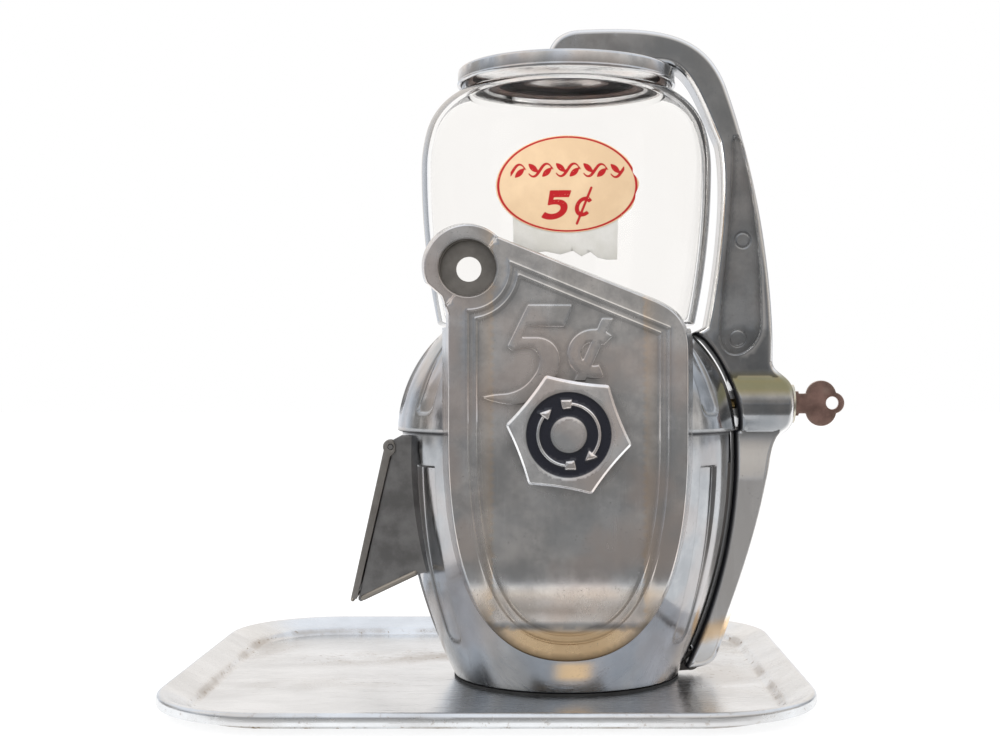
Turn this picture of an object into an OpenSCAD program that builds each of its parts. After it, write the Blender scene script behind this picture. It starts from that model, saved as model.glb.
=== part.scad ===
// Coin-operated nut vendor standing on a tray: a cast body and a hopper dome, a glass globe,
// and a hinged arm that clamps them together and locks. Millimetres, +Z up.
// +X is the arm's side, the delivery chute is at -X, and the coin plate faces -Y.
// The origin is on the body's axis, at the underside of the tray.

/* [Tray] */
// Length of the tray along X
tray_l = 262; // [250:1:290]
// Depth of the tray along Y
tray_w = 230; // [200:1:260]
// Radius of the tray's outer corners
tray_corner_r = 50; // [30:1:60]
// Thickness of the tray's sheet
tray_t = 1.6; // [1.2:0.1:2]
// Width of the tray's sloping border
border_w = 13; // [9:0.5:16]
// Height of the border's inner edge
border_in_z = 4.5; // [3.5:0.1:6]
// Height of the border's outer edge
border_out_z = 9.3; // [7:0.1:12]
// How far the tray's middle lies to the left of the body's axis
tray_shift = 32.2; // [20:0.1:40]
// Radius at which three screws hold the body down
foot_screw_r = 35; // [30:0.5:36]

/* [Body] */
// Radius of the body at its widest
belly_r = 72.5; // [70:0.5:78]
// Height at which the body is widest
belly_z = 100; // [95:1:104]
// Radius of the arc that tapers the body to its foot
belly_arc = 215; // [200:1:240]
// Height of the seam between body and dome
seam_z = 109.4; // [107:0.2:112]
// Thickness of the body's and dome's walls
wall = 4.5; // [3.5:0.1:5]
// Thickness of the gasket under the foot
foot_gasket_t = 0.8; // [0.5:0.1:1.2]
// Angle covered by one flute
flute_deg = 11; // [7:0.5:13]
// Depth of the body's flutes at their tops
flute_depth = 1.5; // [0.8:0.1:2]
// Height of the tops of the body's flutes
flute_top_z = 96; // [88:1:100]
// Height at which the body's flutes run out
flute_foot_z = 21; // [15:1:30]

/* [Hopper dome] */
// Radius of the dome's outer arc in profile
dome_arc = 60; // [58:0.5:62]
// How far the dome's widest ring stands out past the body
dome_proud = 1.9; // [1:0.1:2.5]
// Height of the dome arc's centre
dome_cz = 108; // [106:0.5:110]
// Height of the seat for the globe
seat_z = 154.5; // [153:0.5:157]
// Width of the globe's seat, from the hopper's well to the dome's outside
seat_w = 4.8; // [4:0.1:5.5]
// Thickness of the well's wall and floor
well_t = 2.5; // [2:0.1:3]

/* [Globe and lid] */
// Radius of the globe at its widest
globe_r = 64; // [60:0.5:65]
// Height at which the globe is widest
globe_mid_z = 224; // [216:1:230]
// Radius of the globe's long side arc
globe_side_arc = 323; // [280:1:400]
// Radius of the globe's upper shoulder arc
globe_shoulder_arc = 62; // [56:1:66]
// Radius of the smaller arc that closes the shoulder
globe_neck_arc = 27; // [25:0.5:29]
// Thickness of the glass
glass_t = 3.6; // [2.5:0.1:4.5]
// How far the globe's base reaches in over the hopper's well
base_lip = 3.5; // [2:0.5:5]
// Thickness of the globe's gasket
globe_gasket_t = 1.2; // [0.8:0.1:1.6]
// Outer radius of the lid
lid_r = 48.3; // [47:0.1:50]
// Height of the lid's skirt
lid_h = 6.7; // [5:0.1:8]
// Thickness of the lid's sheet
lid_t = 1.6; // [1:0.1:2]
// Rise of the lid's crown
lid_crown = 1.8; // [1:0.1:3]

/* [Coin plate] */
// How far the plate's front face stands out past the body at its widest
plate_proud = 4.5; // [3.5:0.1:6]
// Half the width of the plate's front
plate_half_w = 47; // [45:0.5:49]
// Height of the plate's lower end
plate_foot_z = 19; // [17:0.5:22]
// Height below which the plate's face curves back
plate_bend_z = 75; // [68:1:80]
// Radius of the curve at the plate's lower end
plate_bend_r = 100.7; // [95:0.5:110]
// Thickness of the plate's front wall
plate_t = 3.6; // [3:0.1:4]
// Thickness of the plate where it rises above the dome
plate_top_depth = 10; // [9:0.2:10.4]
// Depth of the sunken panel in the plate
panel_depth = 1; // [0.5:0.1:1.4]
// Distance from the plate's edge to the sunken panel
panel_inset = 9.6; // [7:0.2:11]
// Distance of the coin boss to the left of the axis
boss_x = 39.4; // [38:0.2:42]
// Height of the coin boss
boss_z = 175.3; // [172:0.2:177]
// Outer radius of the coin boss
boss_r = 17; // [15:0.2:18]
// Diameter of the coin that the machine takes
coin_d = 21.2; // [19:0.1:22]
// Thickness of that coin
coin_t = 1.95; // [1.4:0.05:2.1]
// Radius of the hole through the coin boss
boss_hole_r = 5; // [3:0.2:6]

/* [Knob and gears] */
// Height of the knob's shaft
shaft_z = 110.3; // [110:0.1:110.6]
// Radius of the knob's shaft
shaft_r = 4; // [3:0.1:4.2]
// Distance from the knob's middle to its corners
knob_r = 24.3; // [22:0.1:27]
// Thickness of the knob
knob_t = 12; // [9:0.5:14]
// Depth of the hollow in each side of the knob
knob_waist = 0.7; // [0.2:0.1:2]
// Gap between the product wheel and the wall of its well
wheel_gap = 1.5; // [1:0.1:2.5]
// Teeth on the drive pinion
pinion_teeth = 8; // [8:1:8]
// Teeth under the product wheel
crown_teeth = 24; // [24:1:24]
// Pockets in the product wheel
pockets = 6; // [4:1:6]
// Radius of each pocket
pocket_r = 8; // [6:0.2:8.4]
// Distance of the pockets from the wheel's middle
pocket_ring_r = 26; // [24:0.5:26.5]
// Thickness of the product wheel
wheel_t = 12; // [9:0.5:13]
// Radius of the product wheel's spindle
spindle_r = 5; // [4:0.1:6]
// Teeth on the ratchet
ratchet_teeth = 12; // [12:1:12]
// Radius over the ratchet's teeth
ratchet_r = 16; // [13:0.2:17]

/* [Chute] */
// Distance between the outsides of the chute's side walls
chute_w = 60; // [50:1:62]
// Thickness of the chute's sheet
chute_t = 0.9; // [0.7:0.1:1.2]
// Height of the top of the chute's mouth in the body
mouth_top_z = 100; // [94:1:101]
// Height of the bottom of that mouth
mouth_foot_z = 50; // [49:1:56]

/* [Arm and lock] */
// Width of the arm along Y
arm_w = 19; // [16:0.5:22]
// Gap between the arm and the casting behind it
arm_gap = 1.2; // [0.8:0.1:2]
// Distance of the arm's pivot outside the body's foot
pivot_out = 5.6; // [5:0.1:7]
// Height of the arm's pivot
pivot_z = 8; // [7.6:0.1:8.6]
// Radius of the arm's pivot pin
pivot_r = 2; // [1.5:0.1:2.2]
// Height of the lock
lock_z = 121; // [120:0.2:122]
// Radius of the housing round the lock
housing_r = 12; // [11:0.2:13]
// Radius of the lock's barrel
barrel_r = 8.5; // [7.5:0.1:9]
// Radius of the turning plug in the lock
plug_r = 5.5; // [5:0.1:6]

/* [Clearances] */
// Radial clearance of a turning shaft or pin
run_gap = 0.05; // [0.02:0.01:0.1]
// Gap between parts that pass each other
pass_gap = 0.3; // [0.2:0.05:0.5]
// Gap between castings that are screwed together
seat_gap = 0.1; // [0.05:0.05:0.2]

/* [Hidden] */
$fn = 96;

// Tray and foot
foot_z = tray_t + foot_gasket_t;
foot_r = profile_r(foot_z);
screw_r = 2;
screw_head_r = 3.5;
screw_head_t = 1.4;
// Body profile
function profile_r(z) = belly_r - belly_arc + sqrt(belly_arc^2 - (z - belly_z)^2);
function flute_slope(z) = (belly_z - z) / sqrt(belly_arc^2 - (z - belly_z)^2);
flute_drop = flute_depth / (flute_slope(flute_foot_z) - flute_slope(flute_top_z));
flute_in = flute_drop * flute_slope(flute_foot_z);
flute_angles = [54.5, 78, 102, 125.5];
// Long enough for a bore to pass right through any piece
through = 150;
// Front bay for the mechanism
bay_half_w = 34.5;
bay_foot_z = 62;
bay_top_z = 135;
// Hopper
dome_cx = belly_r + dome_proud - dome_arc;
seat_r = dome_cx + sqrt(dome_arc^2 - (seat_z - dome_cz)^2);
well_r = seat_r - seat_w;
well_floor_z = shaft_z + 6.7;
disc_r = well_r - 10;
disc_z = well_floor_z + 7;
disc_t = 3;
disc_top_z = disc_z + disc_t;
// Gears: the crown's teeth hang under the wheel's rim and mesh with the pinion's top
wheel_r = well_r - wheel_gap;
crown_pitch_r = wheel_r - 4;
tooth_module = 2 * crown_pitch_r / crown_teeth;
pinion_pitch_r = pinion_teeth * tooth_module / 2;
crown_pitch_z = shaft_z + pinion_pitch_r;
tooth_tip = 0.885 * tooth_module;
tooth_root = 1.115 * tooth_module;
tooth_w = 1.057 * tooth_module;
wheel_z = disc_top_z + pass_gap;
wheel_top_z = wheel_z + wheel_t;
nut_z = wheel_top_z + 9.6;
nut_r = 8;
nut_t = 4;
finger_h = 16;
finger_r = 1.3;
stirrer_hub_r = 10;
hood_z = wheel_top_z + 1.6;
hood_half = 12;
hood_t = 2;
rim_in_r = disc_r + 1.2;
crown_root_z = crown_pitch_z + tooth_root;
pinion_front = crown_pitch_r + 2.5;
pinion_back = crown_pitch_r - 3;
// Globe
globe_z = seat_z + globe_gasket_t;
base_hole_r = well_r - base_lip;
neck_turn_deg = 15.5;
shoulder_c = [globe_r - globe_shoulder_arc, globe_mid_z];
neck_c = shoulder_c + (globe_shoulder_arc - globe_neck_arc) * [cos(neck_turn_deg), sin(neck_turn_deg)];
neck_r = lid_r - lid_t - pass_gap;
neck_z = neck_c[1] + sqrt(globe_neck_arc^2 - (neck_r - 0.4 - neck_c[0])^2);
neck_h = 6.3;
globe_top_z = neck_z + neck_h;
lid_gasket_t = 0.8;
lid_z = globe_top_z + lid_gasket_t + lid_t - lid_h;
lid_top_z = lid_z + lid_h;
// Coin plate
plate_front = belly_r + plate_proud;
plate_bend_y = plate_bend_r - plate_front;
face_in_y = -(plate_front - plate_t);
draft_deg = 9.8;
plate_reach = 34;
recess_r = coin_d / 2 + 0.6;
race_wall = 1.4;
track_t = coin_t + 0.65;
race_back_y = face_in_y + track_t;
race_t = 2;
boss = [-boss_x, boss_z];
race_end = [-16, 128];
// Mechanism stations along Y
ratchet_t = 3.5;
ratchet_tooth_h = 3;
hub_r = 8;
hub_h = 6;
ratchet_y = race_back_y + race_t + 2.8;
bracket_y = ratchet_y + ratchet_t + 4;
bracket_t = 3;
bush_r = 7;
post_r = 3.5;
post_screw_r = 1.2;
bracket_edge_r = 5.5;
bracket_screw_head_r = 3;
bracket_screw_head_t = 1.8;
coin_wheel_r = 22;
race_wheel_gap = 0.6;
collar_r = 6.2;
posts = [[27, 129], [27, 88], [-27, 88]];
pawl_pivot = [22, 121.5];
pawl_pin_r = 1.8;
pawl_r = 4;
pawl_gap = 0.35;
pin_head_r = 3;
spring_r = 2.6;
spring_wire_r = 0.5;
spring_pitch = 1.2;
plate_boss_r = 4;
plate_bosses = [[39.5, 96], [-40, 96], [27, 42], [-28, 42]];
// Chute
hinge_x = -belly_r - 2.1;
hinge_z = mouth_top_z + 3.2;
lip_x = hinge_x - 13.8;
lip_z = mouth_foot_z - 12;
// The body's inner side at the foot of the mouth
mouth_in_x = profile_r(mouth_foot_z) - wall;
flap_pin_r = 1;
// Arm
pivot_x = foot_r + pivot_out;
lug_t = 8;
lug_r = 4.4;
tip_x = -8.3;
pad_t = 1.6;
pad_r = 7;
arm_under_z = lid_top_z + lid_crown + pad_t;
arm_top_z = arm_under_z + 15;
// The arm's outer face at the lock's height
arm_x = belly_r + 18.2;
// Lock, along X
housing_end = arm_x + 9.5;
cam_t = 2;
cam_x = dome_cx + sqrt((dome_arc - wall)^2 - (lock_z - dome_cz)^2) - 1.75;
cam_l = 7.5;
lock_web_x = housing_end - 15;
lock_nut_x = housing_end - 20;
lock_nut_t = 3.4;
lock_nut_r = 9.5;
neck_out_r = plug_r + 1.6;
plug_end = lock_nut_x - 3;
tail_r = 2.2;
cam_screw_r = 1;
key_t = 2.2;
key_h = 7.2;
shank_l = 14.5;
bow_x = housing_end + 13.5;
bow_r = 10;
bow_end_r = 5;
bow_hole_r = 2.7;

// Cubic curve through two ends and two guide points
function curve(a, b, c, d, n) = [for (i = [0:n]) let (t = i / n)
  (1 - t)^3 * a + 3 * (1 - t)^2 * t * b + 3 * (1 - t) * t^2 * c + t^3 * d];
// Points along a round arc
function arc(c, r, a0, a1, n) = [for (i = [0:n]) let (a = a0 + (a1 - a0) * i / n)
  c + r * [cos(a), sin(a)]];
// Centre, to the left of the way from p to q, of an arc of radius r through both
function arc_centre(p, q, r) = let (m = (p + q) / 2, d = q - p, l = norm(d))
  m + [-d[1], d[0]] / l * sqrt(r^2 - l^2 / 4);

// Turns a shape drawn in X and Z so that it reaches back along +Y from y0
module along_y(y0) {
  translate([0, y0, 0]) mirror([0, 1, 0]) rotate([90, 0, 0]) children();
}
// Turns a shape drawn in Y and Z so that it reaches along +X from x0
module along_x(x0) {
  translate([x0, 0, 0]) rotate([90, 0, 90]) children();
}
// A round bar along +Y
module bar_y(x, z, r, y0, y1) {
  along_y(y0) linear_extrude(y1 - y0) translate([x, z]) circle(r);
}
// A round bar along +X
module bar_x(y, z, r, x0, x1) {
  along_x(x0) linear_extrude(x1 - x0) translate([y, z]) circle(r);
}
// Bores that pass right through along Y and along X
module bore_y(x, z, r) {
  bar_y(x, z, r, -through, through);
}
module bore_x(y, z, r) {
  bar_x(y, z, r, -through, through);
}
// A box from one corner to the other
module block(a, b) {
  translate(a) cube(b - a);
}

module tray_border_profile() {
  step_r = tray_corner_r - border_w;
  polygon(concat(
    [[step_r - 1.5, 0], [step_r - 1.5, tray_t], [step_r - 1.2, tray_t], [step_r, border_in_z],
     [tray_corner_r - 2.2, border_out_z - 0.4]],
    arc([tray_corner_r - 1.6, border_out_z - 1.9], 1.6, 110, 0, 5),
    [[tray_corner_r, 4.4], [tray_corner_r - tray_t, 4.4],
     [tray_corner_r - tray_t, border_out_z - 2.4], [tray_corner_r - 2.6, border_out_z - 2.1],
     [step_r + 0.9, border_in_z - tray_t - 0.1], [step_r - 0.3, 0]]));
}

module tray() {
  side_x = tray_l / 2 - tray_corner_r;
  side_y = tray_w / 2 - tray_corner_r;
  floor_in = tray_corner_r - border_w - 1.5;
  color([0.80, 0.80, 0.79]) difference() {
    translate([-tray_shift, 0, 0]) union() {
      for (i = [0:3]) {
        sx = (i == 0 || i == 3) ? side_x : -side_x;
        sy = (i < 2) ? side_y : -side_y;
        translate([sx, sy, 0]) rotate([0, 0, 90 * i]) rotate_extrude(angle = 90) tray_border_profile();
      }
      for (s = [0, 180]) rotate([0, 0, s]) {
        translate([side_x, side_y, 0]) rotate([90, 0, 0])
          linear_extrude(2 * side_y) tray_border_profile();
        translate([-side_x, side_y, 0]) rotate([90, 0, 90])
          linear_extrude(2 * side_x) tray_border_profile();
      }
      block([-side_x - floor_in, -side_y, 0], [side_x + floor_in, side_y, tray_t]);
      block([-side_x, -side_y - floor_in, 0], [side_x, side_y + floor_in, tray_t]);
      for (sx = [-side_x, side_x], sy = [-side_y, side_y])
        translate([sx, sy, 0]) cylinder(h = tray_t, r = floor_in);
    }
    foot_screw_places() {
      translate([0, 0, -1]) cylinder(h = 8, r = screw_r + 0.2);
      translate([0, 0, -0.01]) cylinder(h = screw_head_t, r1 = screw_head_r + 0.1, r2 = screw_r);
    }
  }
}

module foot_screw_places() {
  for (a = [30, 150, 270]) rotate([0, 0, a]) translate([foot_screw_r, 0, 0]) children();
}

module tray_screws() {
  color([0.62, 0.62, 0.60]) foot_screw_places() difference() {
    union() {
      translate([0, 0, 0.05]) cylinder(h = screw_head_t - 0.1, r1 = screw_head_r, r2 = screw_r);
      translate([0, 0, 1]) cylinder(h = 10, r = screw_r);
    }
    translate([-4, -0.5, -1]) cube([8, 1, 1.7]);
  }
}

module foot_gasket() {
  color([0.06, 0.06, 0.06]) translate([0, 0, tray_t]) difference() {
    cylinder(h = foot_gasket_t, r = foot_r + 0.4);
    translate([0, 0, -1]) cylinder(h = 4, r = foot_r - wall);
  }
}

// The body's outline in profile, grown or shrunk by off
module body_region(off) {
  intersection() {
    translate([belly_r - belly_arc, belly_z]) circle(r = belly_arc + off, $fn = 360);
    translate([0, foot_z]) square([belly_r + 20, seam_z - foot_z]);
  }
}
// The dome's outline in profile, grown or shrunk by off
module dome_region(off) {
  intersection() {
    translate([dome_cx, dome_cz]) circle(r = dome_arc + off, $fn = 240);
    translate([0, seam_z]) square([belly_r + 20, seat_z - seam_z]);
  }
}
// Body and dome as one solid, to trim what lies against them
module casting_solid(off) {
  rotate_extrude($fn = 180) {
    body_region(off);
    dome_region(off);
  }
}
// One flute, centred on an angle measured from the front
module flute_place(a) {
  rotate([0, 0, a - 90 - flute_deg / 2]) rotate_extrude(angle = flute_deg, $fn = 360) children();
}
module body_flute_profile() {
  intersection() {
    difference() {
      translate([belly_r - belly_arc + 4, belly_z]) circle(r = belly_arc, $fn = 360);
      translate([belly_r - belly_arc - flute_in, belly_z - flute_drop])
        circle(r = belly_arc, $fn = 360);
    }
    translate([20, flute_foot_z - 6]) square([80, flute_top_z - flute_foot_z + 6]);
  }
}
module dome_flute_profile() {
  p = [dome_cx + sqrt(dome_arc^2 - 9^2), dome_cz + 9];
  q = [dome_cx + sqrt(dome_arc^2 - 41^2), dome_cz + 41];
  difference() {
    intersection() {
      translate([dome_cx + 2, dome_cz]) circle(r = dome_arc + 3, $fn = 240);
      translate([40, p[1] - 2]) square([60, 37]);
    }
    translate(arc_centre(p, q, 2 * dome_arc)) circle(r = 2 * dome_arc, $fn = 360);
  }
}
// The square shaft of air behind the coin plate that the mechanism stands in
module bay() {
  block([-bay_half_w, -belly_r - 10, bay_foot_z], [bay_half_w, -well_r - well_t - 0.4, bay_top_z]);
}

module lower_body() {
  color([0.62, 0.62, 0.63]) difference() {
    union() {
      rotate_extrude($fn = 180) difference() {
        body_region(0);
        translate([belly_r - belly_arc, belly_z]) circle(r = belly_arc - wall, $fn = 360);
      }
      intersection() {
        foot_screw_places() {
          cylinder(h = 15, r = 5);
          translate([0, -3, 0]) cube([18, 6, 15]);
        }
        casting_solid(-1);
      }
      arm_lug();
    }
    for (a = flute_angles, s = [-1, 1]) flute_place(s * a) body_flute_profile();
    block([-belly_r - 8, -chute_w / 2 + 3, mouth_foot_z], [-45, chute_w / 2 - 3, mouth_top_z]);
    bay();
    foot_screw_places() translate([0, 0, 1]) cylinder(h = 11.5, r = screw_r);
    plate_screw_holes();
  }
}
// Tongue at the foot that carries the arm's pin
module arm_lug() {
  along_y(-lug_t / 2) linear_extrude(lug_t) difference() {
    hull() {
      translate([pivot_x, pivot_z]) circle(r = lug_r);
      translate([foot_r - 4, foot_z + 0.6]) square([1, 11]);
    }
    translate([pivot_x, pivot_z]) circle(r = pivot_r + run_gap);
  }
}
module plate_screw_holes() {
  for (p = plate_bosses) {
    seat = plate_screw_seat(p);
    bar_y(p[0], p[1], screw_r + 0.2, -belly_r, seat + 1);
    bar_y(p[0], p[1], screw_head_r + 0.3, seat, -25);
  }
}
// Depth of the flat seat for a plate screw's head, in the wall's inner side
function plate_screw_seat(p) = -sqrt(profile_r(p[1])^2 - p[0]^2) + wall - 1.2;

module hopper_dome() {
  color([0.62, 0.62, 0.63]) difference() {
    rotate_extrude($fn = 180) hopper_profile();
    for (a = flute_angles, s = [-1, 1]) flute_place(s * a) dome_flute_profile();
    bay();
    translate([-pocket_ring_r, 0, disc_z - 1]) cylinder(h = disc_t + 2, r = pocket_r + 0.5);
    block([-pinion_pitch_r - 3.5, -pinion_front - 1.3, well_floor_z - 1],
          [pinion_pitch_r + 3.5, -pinion_back + 1.3, disc_z - 2]);
    block([well_r + well_t + 2, -3, lock_z - cam_l - 1.5], [belly_r + 5, 3, lock_z + cam_l + 1.5]);
    bar_x(0, lock_z, cam_l + 0.5, well_r + well_t + 2, cam_x + 0.4);
    translate([0, 0, well_floor_z - 6]) cylinder(h = 20, r = spindle_r);
  }
}
module hopper_profile() {
  difference() {
    dome_region(0);
    difference() {
      intersection() {
        translate([dome_cx, dome_cz]) circle(r = dome_arc - wall, $fn = 240);
        translate([0, seam_z - 1]) square([belly_r, seat_z - 3.5 - seam_z]);
      }
      translate([0, well_floor_z]) square([well_r + well_t, seat_z]);
      translate([belly_r - wall - 3, seam_z - 2]) square([7, 4.6]);
    }
    translate([0, well_floor_z + well_t]) square([well_r, seat_z]);
    translate([0, well_floor_z - 1]) square([disc_r - 2, 5]);
  }
  translate([belly_r - wall - 3, seam_z - 4]) square([2.4, 6]);
  translate([disc_r - 2, well_floor_z]) square([2, disc_top_z - well_floor_z]);
  translate([0, disc_z]) square([disc_r, disc_t]);
  translate([0, well_floor_z - 5]) square([spindle_r + 4, disc_z - well_floor_z + 6]);
}

module globe_gasket() {
  color([0.45, 0.43, 0.40]) translate([0, 0, seat_z]) difference() {
    cylinder(h = globe_gasket_t, r = seat_r - 0.3);
    translate([0, 0, -1]) cylinder(h = 4, r = base_hole_r + 0.5);
  }
}

// Half section of the globe's outside, shrunk by off, from z0 up
module globe_region(off, z0) {
  intersection() {
    translate([globe_r - globe_side_arc, globe_mid_z]) circle(r = globe_side_arc - off, $fn = 360);
    translate([0, z0]) square([globe_r + 5, globe_mid_z - z0]);
  }
  // Each smaller arc starts below the tangent point, inside the larger one
  intersection() {
    translate(shoulder_c) circle(r = globe_shoulder_arc - off, $fn = 240);
    translate([0, globe_mid_z - 6]) square([globe_r + 5, shoulder_step(off) + 6]);
  }
  intersection() {
    union() {
      translate(neck_c) circle(r = globe_neck_arc - off, $fn = 180);
      translate([0, globe_mid_z]) square([neck_c[0], neck_c[1] + globe_neck_arc - off - globe_mid_z]);
    }
    translate([0, globe_mid_z + shoulder_step(off) - 5])
      square([globe_r + 5, neck_z - globe_mid_z - shoulder_step(off) + 5]);
  }
}
function shoulder_step(off) = (globe_shoulder_arc - off) * sin(neck_turn_deg);

module globe() {
  color([0.85, 0.93, 0.93, 0.35]) rotate_extrude($fn = 180) difference() {
    union() {
      globe_region(0, globe_z + 1.4);
      translate([0, globe_z]) square([profile_globe(globe_z + 1.4) - 1.4, 2]);
      translate([profile_globe(globe_z + 1.4) - 1.4, globe_z + 1.4]) circle(r = 1.4);
      translate([0, neck_z - 0.5]) square([neck_r, neck_h + 0.5]);
    }
    globe_region(glass_t, globe_z + 5);
    translate([0, globe_z - 1]) square([base_hole_r, 8]);
    translate([0, neck_z - 6]) square([neck_r - glass_t, neck_h + 8]);
  }
}
function profile_globe(z) = globe_r - globe_side_arc + sqrt(globe_side_arc^2 - (z - globe_mid_z)^2);

module lid_gasket() {
  color([0.75, 0.30, 0.25]) translate([0, 0, globe_top_z]) difference() {
    cylinder(h = lid_gasket_t, r = neck_r);
    translate([0, 0, -1]) cylinder(h = 3, r = neck_r - glass_t - 1);
  }
}
module lid_section(off) {
  crown_r = (lid_r^2 + lid_crown^2) / (2 * lid_crown);
  intersection() {
    translate([0, lid_top_z + lid_crown - crown_r]) circle(r = crown_r - off, $fn = 360);
    translate([0, lid_top_z - 1 - off]) square([lid_r - off, lid_crown + 2 + off]);
  }
}
module lid() {
  color([0.70, 0.70, 0.71]) rotate_extrude($fn = 180) {
    difference() {
      union() {
        translate([0, lid_z]) square([lid_r, lid_h]);
        lid_section(0);
      }
      translate([0, lid_z - 1]) square([lid_r - lid_t, lid_h + 1 - lid_t]);
      intersection() {
        lid_section(lid_t);
        translate([0, lid_top_z - lid_t]) square([neck_r - 6, 20]);
      }
    }
  }
}

// Outline of the coin plate in X and Z without its boss
module plate_outline() {
  w = plate_half_w;
  polygon(concat(
    curve([w, 108], [w, 62], [0.79 * w, plate_foot_z], [0, plate_foot_z], 12),
    curve([0, plate_foot_z], [-0.79 * w, plate_foot_z], [-w, 62], [-w, 108], 12),
    [[-w, 157], [-w - 2.3, 164], [-boss_x - boss_r * 0.93, boss_z - 6],
     [-boss_x + boss_r * 0.66, boss_z + 12.1]],
    curve([w - 14.8, 163.2], [w - 3.8, 158.8], [w, 154], [w, 141], 8)));
}
module boss_disc(r) {
  translate(boss) circle(r = r, $fn = 48);
}
// Outline of the sunken panel
module panel_outline() {
  difference() {
    offset(delta = -panel_inset) plate_outline();
    boss_disc(boss_r + 3);
  }
}
// Solid under the plate's curved face, drawn in Y and Z and swept along X
module face_slab(off) {
  along_x(-90) linear_extrude(180) {
    translate([-plate_front + off, plate_bend_z]) square([60, 140]);
    intersection() {
      translate([plate_bend_y, plate_bend_z]) circle(r = plate_bend_r - off, $fn = 360);
      translate([-plate_front, 0]) square([50 + off, plate_bend_z]);
    }
  }
}
// The plate's outline drawn back with its sides spread by the draft
module plate_block(inset) {
  spread = 1 + plate_reach * tan(draft_deg) / plate_half_w;
  translate([0, 0, belly_z]) along_y(-plate_front) linear_extrude(
    height = plate_reach, scale = [spread, 1 + (spread - 1) / 2], slices = 1)
      translate([0, -belly_z]) offset(delta = -inset) {
        plate_outline();
        boss_disc(boss_r);
      }
}
module coin_plate() {
  color([0.60, 0.60, 0.60]) difference() {
    union() {
      difference() {
        intersection() {
          plate_block(0);
          face_slab(0);
        }
        intersection() {
          plate_block(3.4);
          face_slab(plate_t);
        }
      }
      for (p = posts) bar_y(p[0], p[1], post_r, face_in_y - 1, bracket_y);
      for (p = plate_bosses) bar_y(p[0], p[1], plate_boss_r, face_y(p[1]) + plate_t - 1, -well_r + 2.5);
    }
    casting_solid(seat_gap);
    // The upper part is a thin plate that stands clear of the globe
    block([-90, -plate_front + plate_top_depth, seat_z - 4], [90, 0, 220]);
    block([-90, -well_r - 4.5, 20], [90, 0, seat_z]);
    intersection() {
      along_y(-plate_front - 1) linear_extrude(60) panel_outline();
      difference() {
        face_slab(-1);
        face_slab(panel_depth);
      }
    }
    bar_y(-boss_x, boss_z, recess_r, -plate_front - 1, face_in_y + 1);
    // The boss's lip is set back at its upper left, where a coin is put in
    along_y(-plate_front - 1) linear_extrude(1 + 1.8) translate(boss) intersection() {
      difference() {
        circle(r = boss_r + 2);
        circle(r = recess_r - 1);
      }
      rotate(54) translate([-20, -2]) square([40, 24]);
    }
    bar_y(0, shaft_z, bush_r, -plate_front - 1, face_in_y + 1);
    along_y(face_in_y) linear_extrude(30) race_outer(seat_gap);
    for (p = posts) bar_y(p[0], p[1], post_screw_r, face_in_y + 1, bracket_y + 1);
    for (p = plate_bosses) bar_y(p[0], p[1], screw_r - 0.1, face_y(p[1]) + plate_t + 1, 0);
  }
}
// Y of the plate's front face at a height
function face_y(z) = z >= plate_bend_z ? -plate_front
  : plate_bend_y - sqrt(plate_bend_r^2 - (z - plate_bend_z)^2);

module plate_screws() {
  color([0.62, 0.62, 0.60]) for (p = plate_bosses) {
    seat = plate_screw_seat(p);
    bar_y(p[0], p[1], screw_head_r, seat, seat + 2.2);
    bar_y(p[0], p[1], screw_r - 0.1, seat - 10, seat + 1);
  }
}

// Coin track behind the plate: from the boss down to the coin wheel
module coin_raceway() {
  color([0.66, 0.64, 0.58]) difference() {
    along_y(face_in_y + seat_gap) linear_extrude(track_t + race_t) race_outer(0);
    along_y(face_in_y - 1) linear_extrude(track_t + 1) {
      hull() {
        translate(boss) circle(r = recess_r);
        translate(race_end) circle(r = recess_r);
      }
      translate([0, shaft_z]) circle(r = coin_wheel_r + race_wheel_gap);
      translate([0, shaft_z - 40]) square([30, 40]);
    }
    bar_y(0, shaft_z, bush_r + 1, race_back_y - 3, race_back_y + race_t + 1);
    bar_y(-boss_x, boss_z, boss_hole_r, race_back_y - 3, race_back_y + race_t + 1);
    along_y(race_back_y - 3) linear_extrude(12) translate([0, shaft_z - 36]) square([40, 22]);
  }
}
module race_outer(grow) {
  hull() {
    translate(boss) circle(r = recess_r + race_wall + grow);
    translate(race_end) circle(r = recess_r + race_wall + grow);
  }
  translate([0, shaft_z]) circle(r = coin_wheel_r + race_wheel_gap + race_t + grow);
}

module bush(y0, y1) {
  difference() {
    bar_y(0, shaft_z, bush_r, y0, y1);
    bore_y(0, shaft_z, shaft_r + run_gap);
  }
}
module front_bush() {
  color([0.72, 0.58, 0.30]) bush(-plate_front - 0.3, face_in_y);
}
module rear_bush() {
  color([0.72, 0.58, 0.30]) bush(bracket_y - 0.5, bracket_y + bracket_t);
}
module bracket_shape() {
  hull() for (p = posts) translate(p) circle(r = bracket_edge_r);
}
module mechanism_bracket() {
  color([0.58, 0.57, 0.54]) difference() {
    union() {
      along_y(bracket_y) linear_extrude(bracket_t) {
        bracket_shape();
        translate([0, shaft_z]) circle(r = bush_r + 4);
      }
    }
    bore_y(0, shaft_z, bush_r);
    for (p = posts) bore_y(p[0], p[1], post_screw_r + 0.5);
    bore_y(pawl_pivot[0], pawl_pivot[1], pawl_pin_r);
  }
}
module bracket_screws() {
  color([0.62, 0.62, 0.60]) for (p = posts) {
    bar_y(p[0], p[1], bracket_screw_head_r, bracket_y + bracket_t,
          bracket_y + bracket_t + bracket_screw_head_t);
    bar_y(p[0], p[1], post_screw_r, bracket_y - 6, bracket_y + bracket_t + 1);
  }
}

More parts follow.
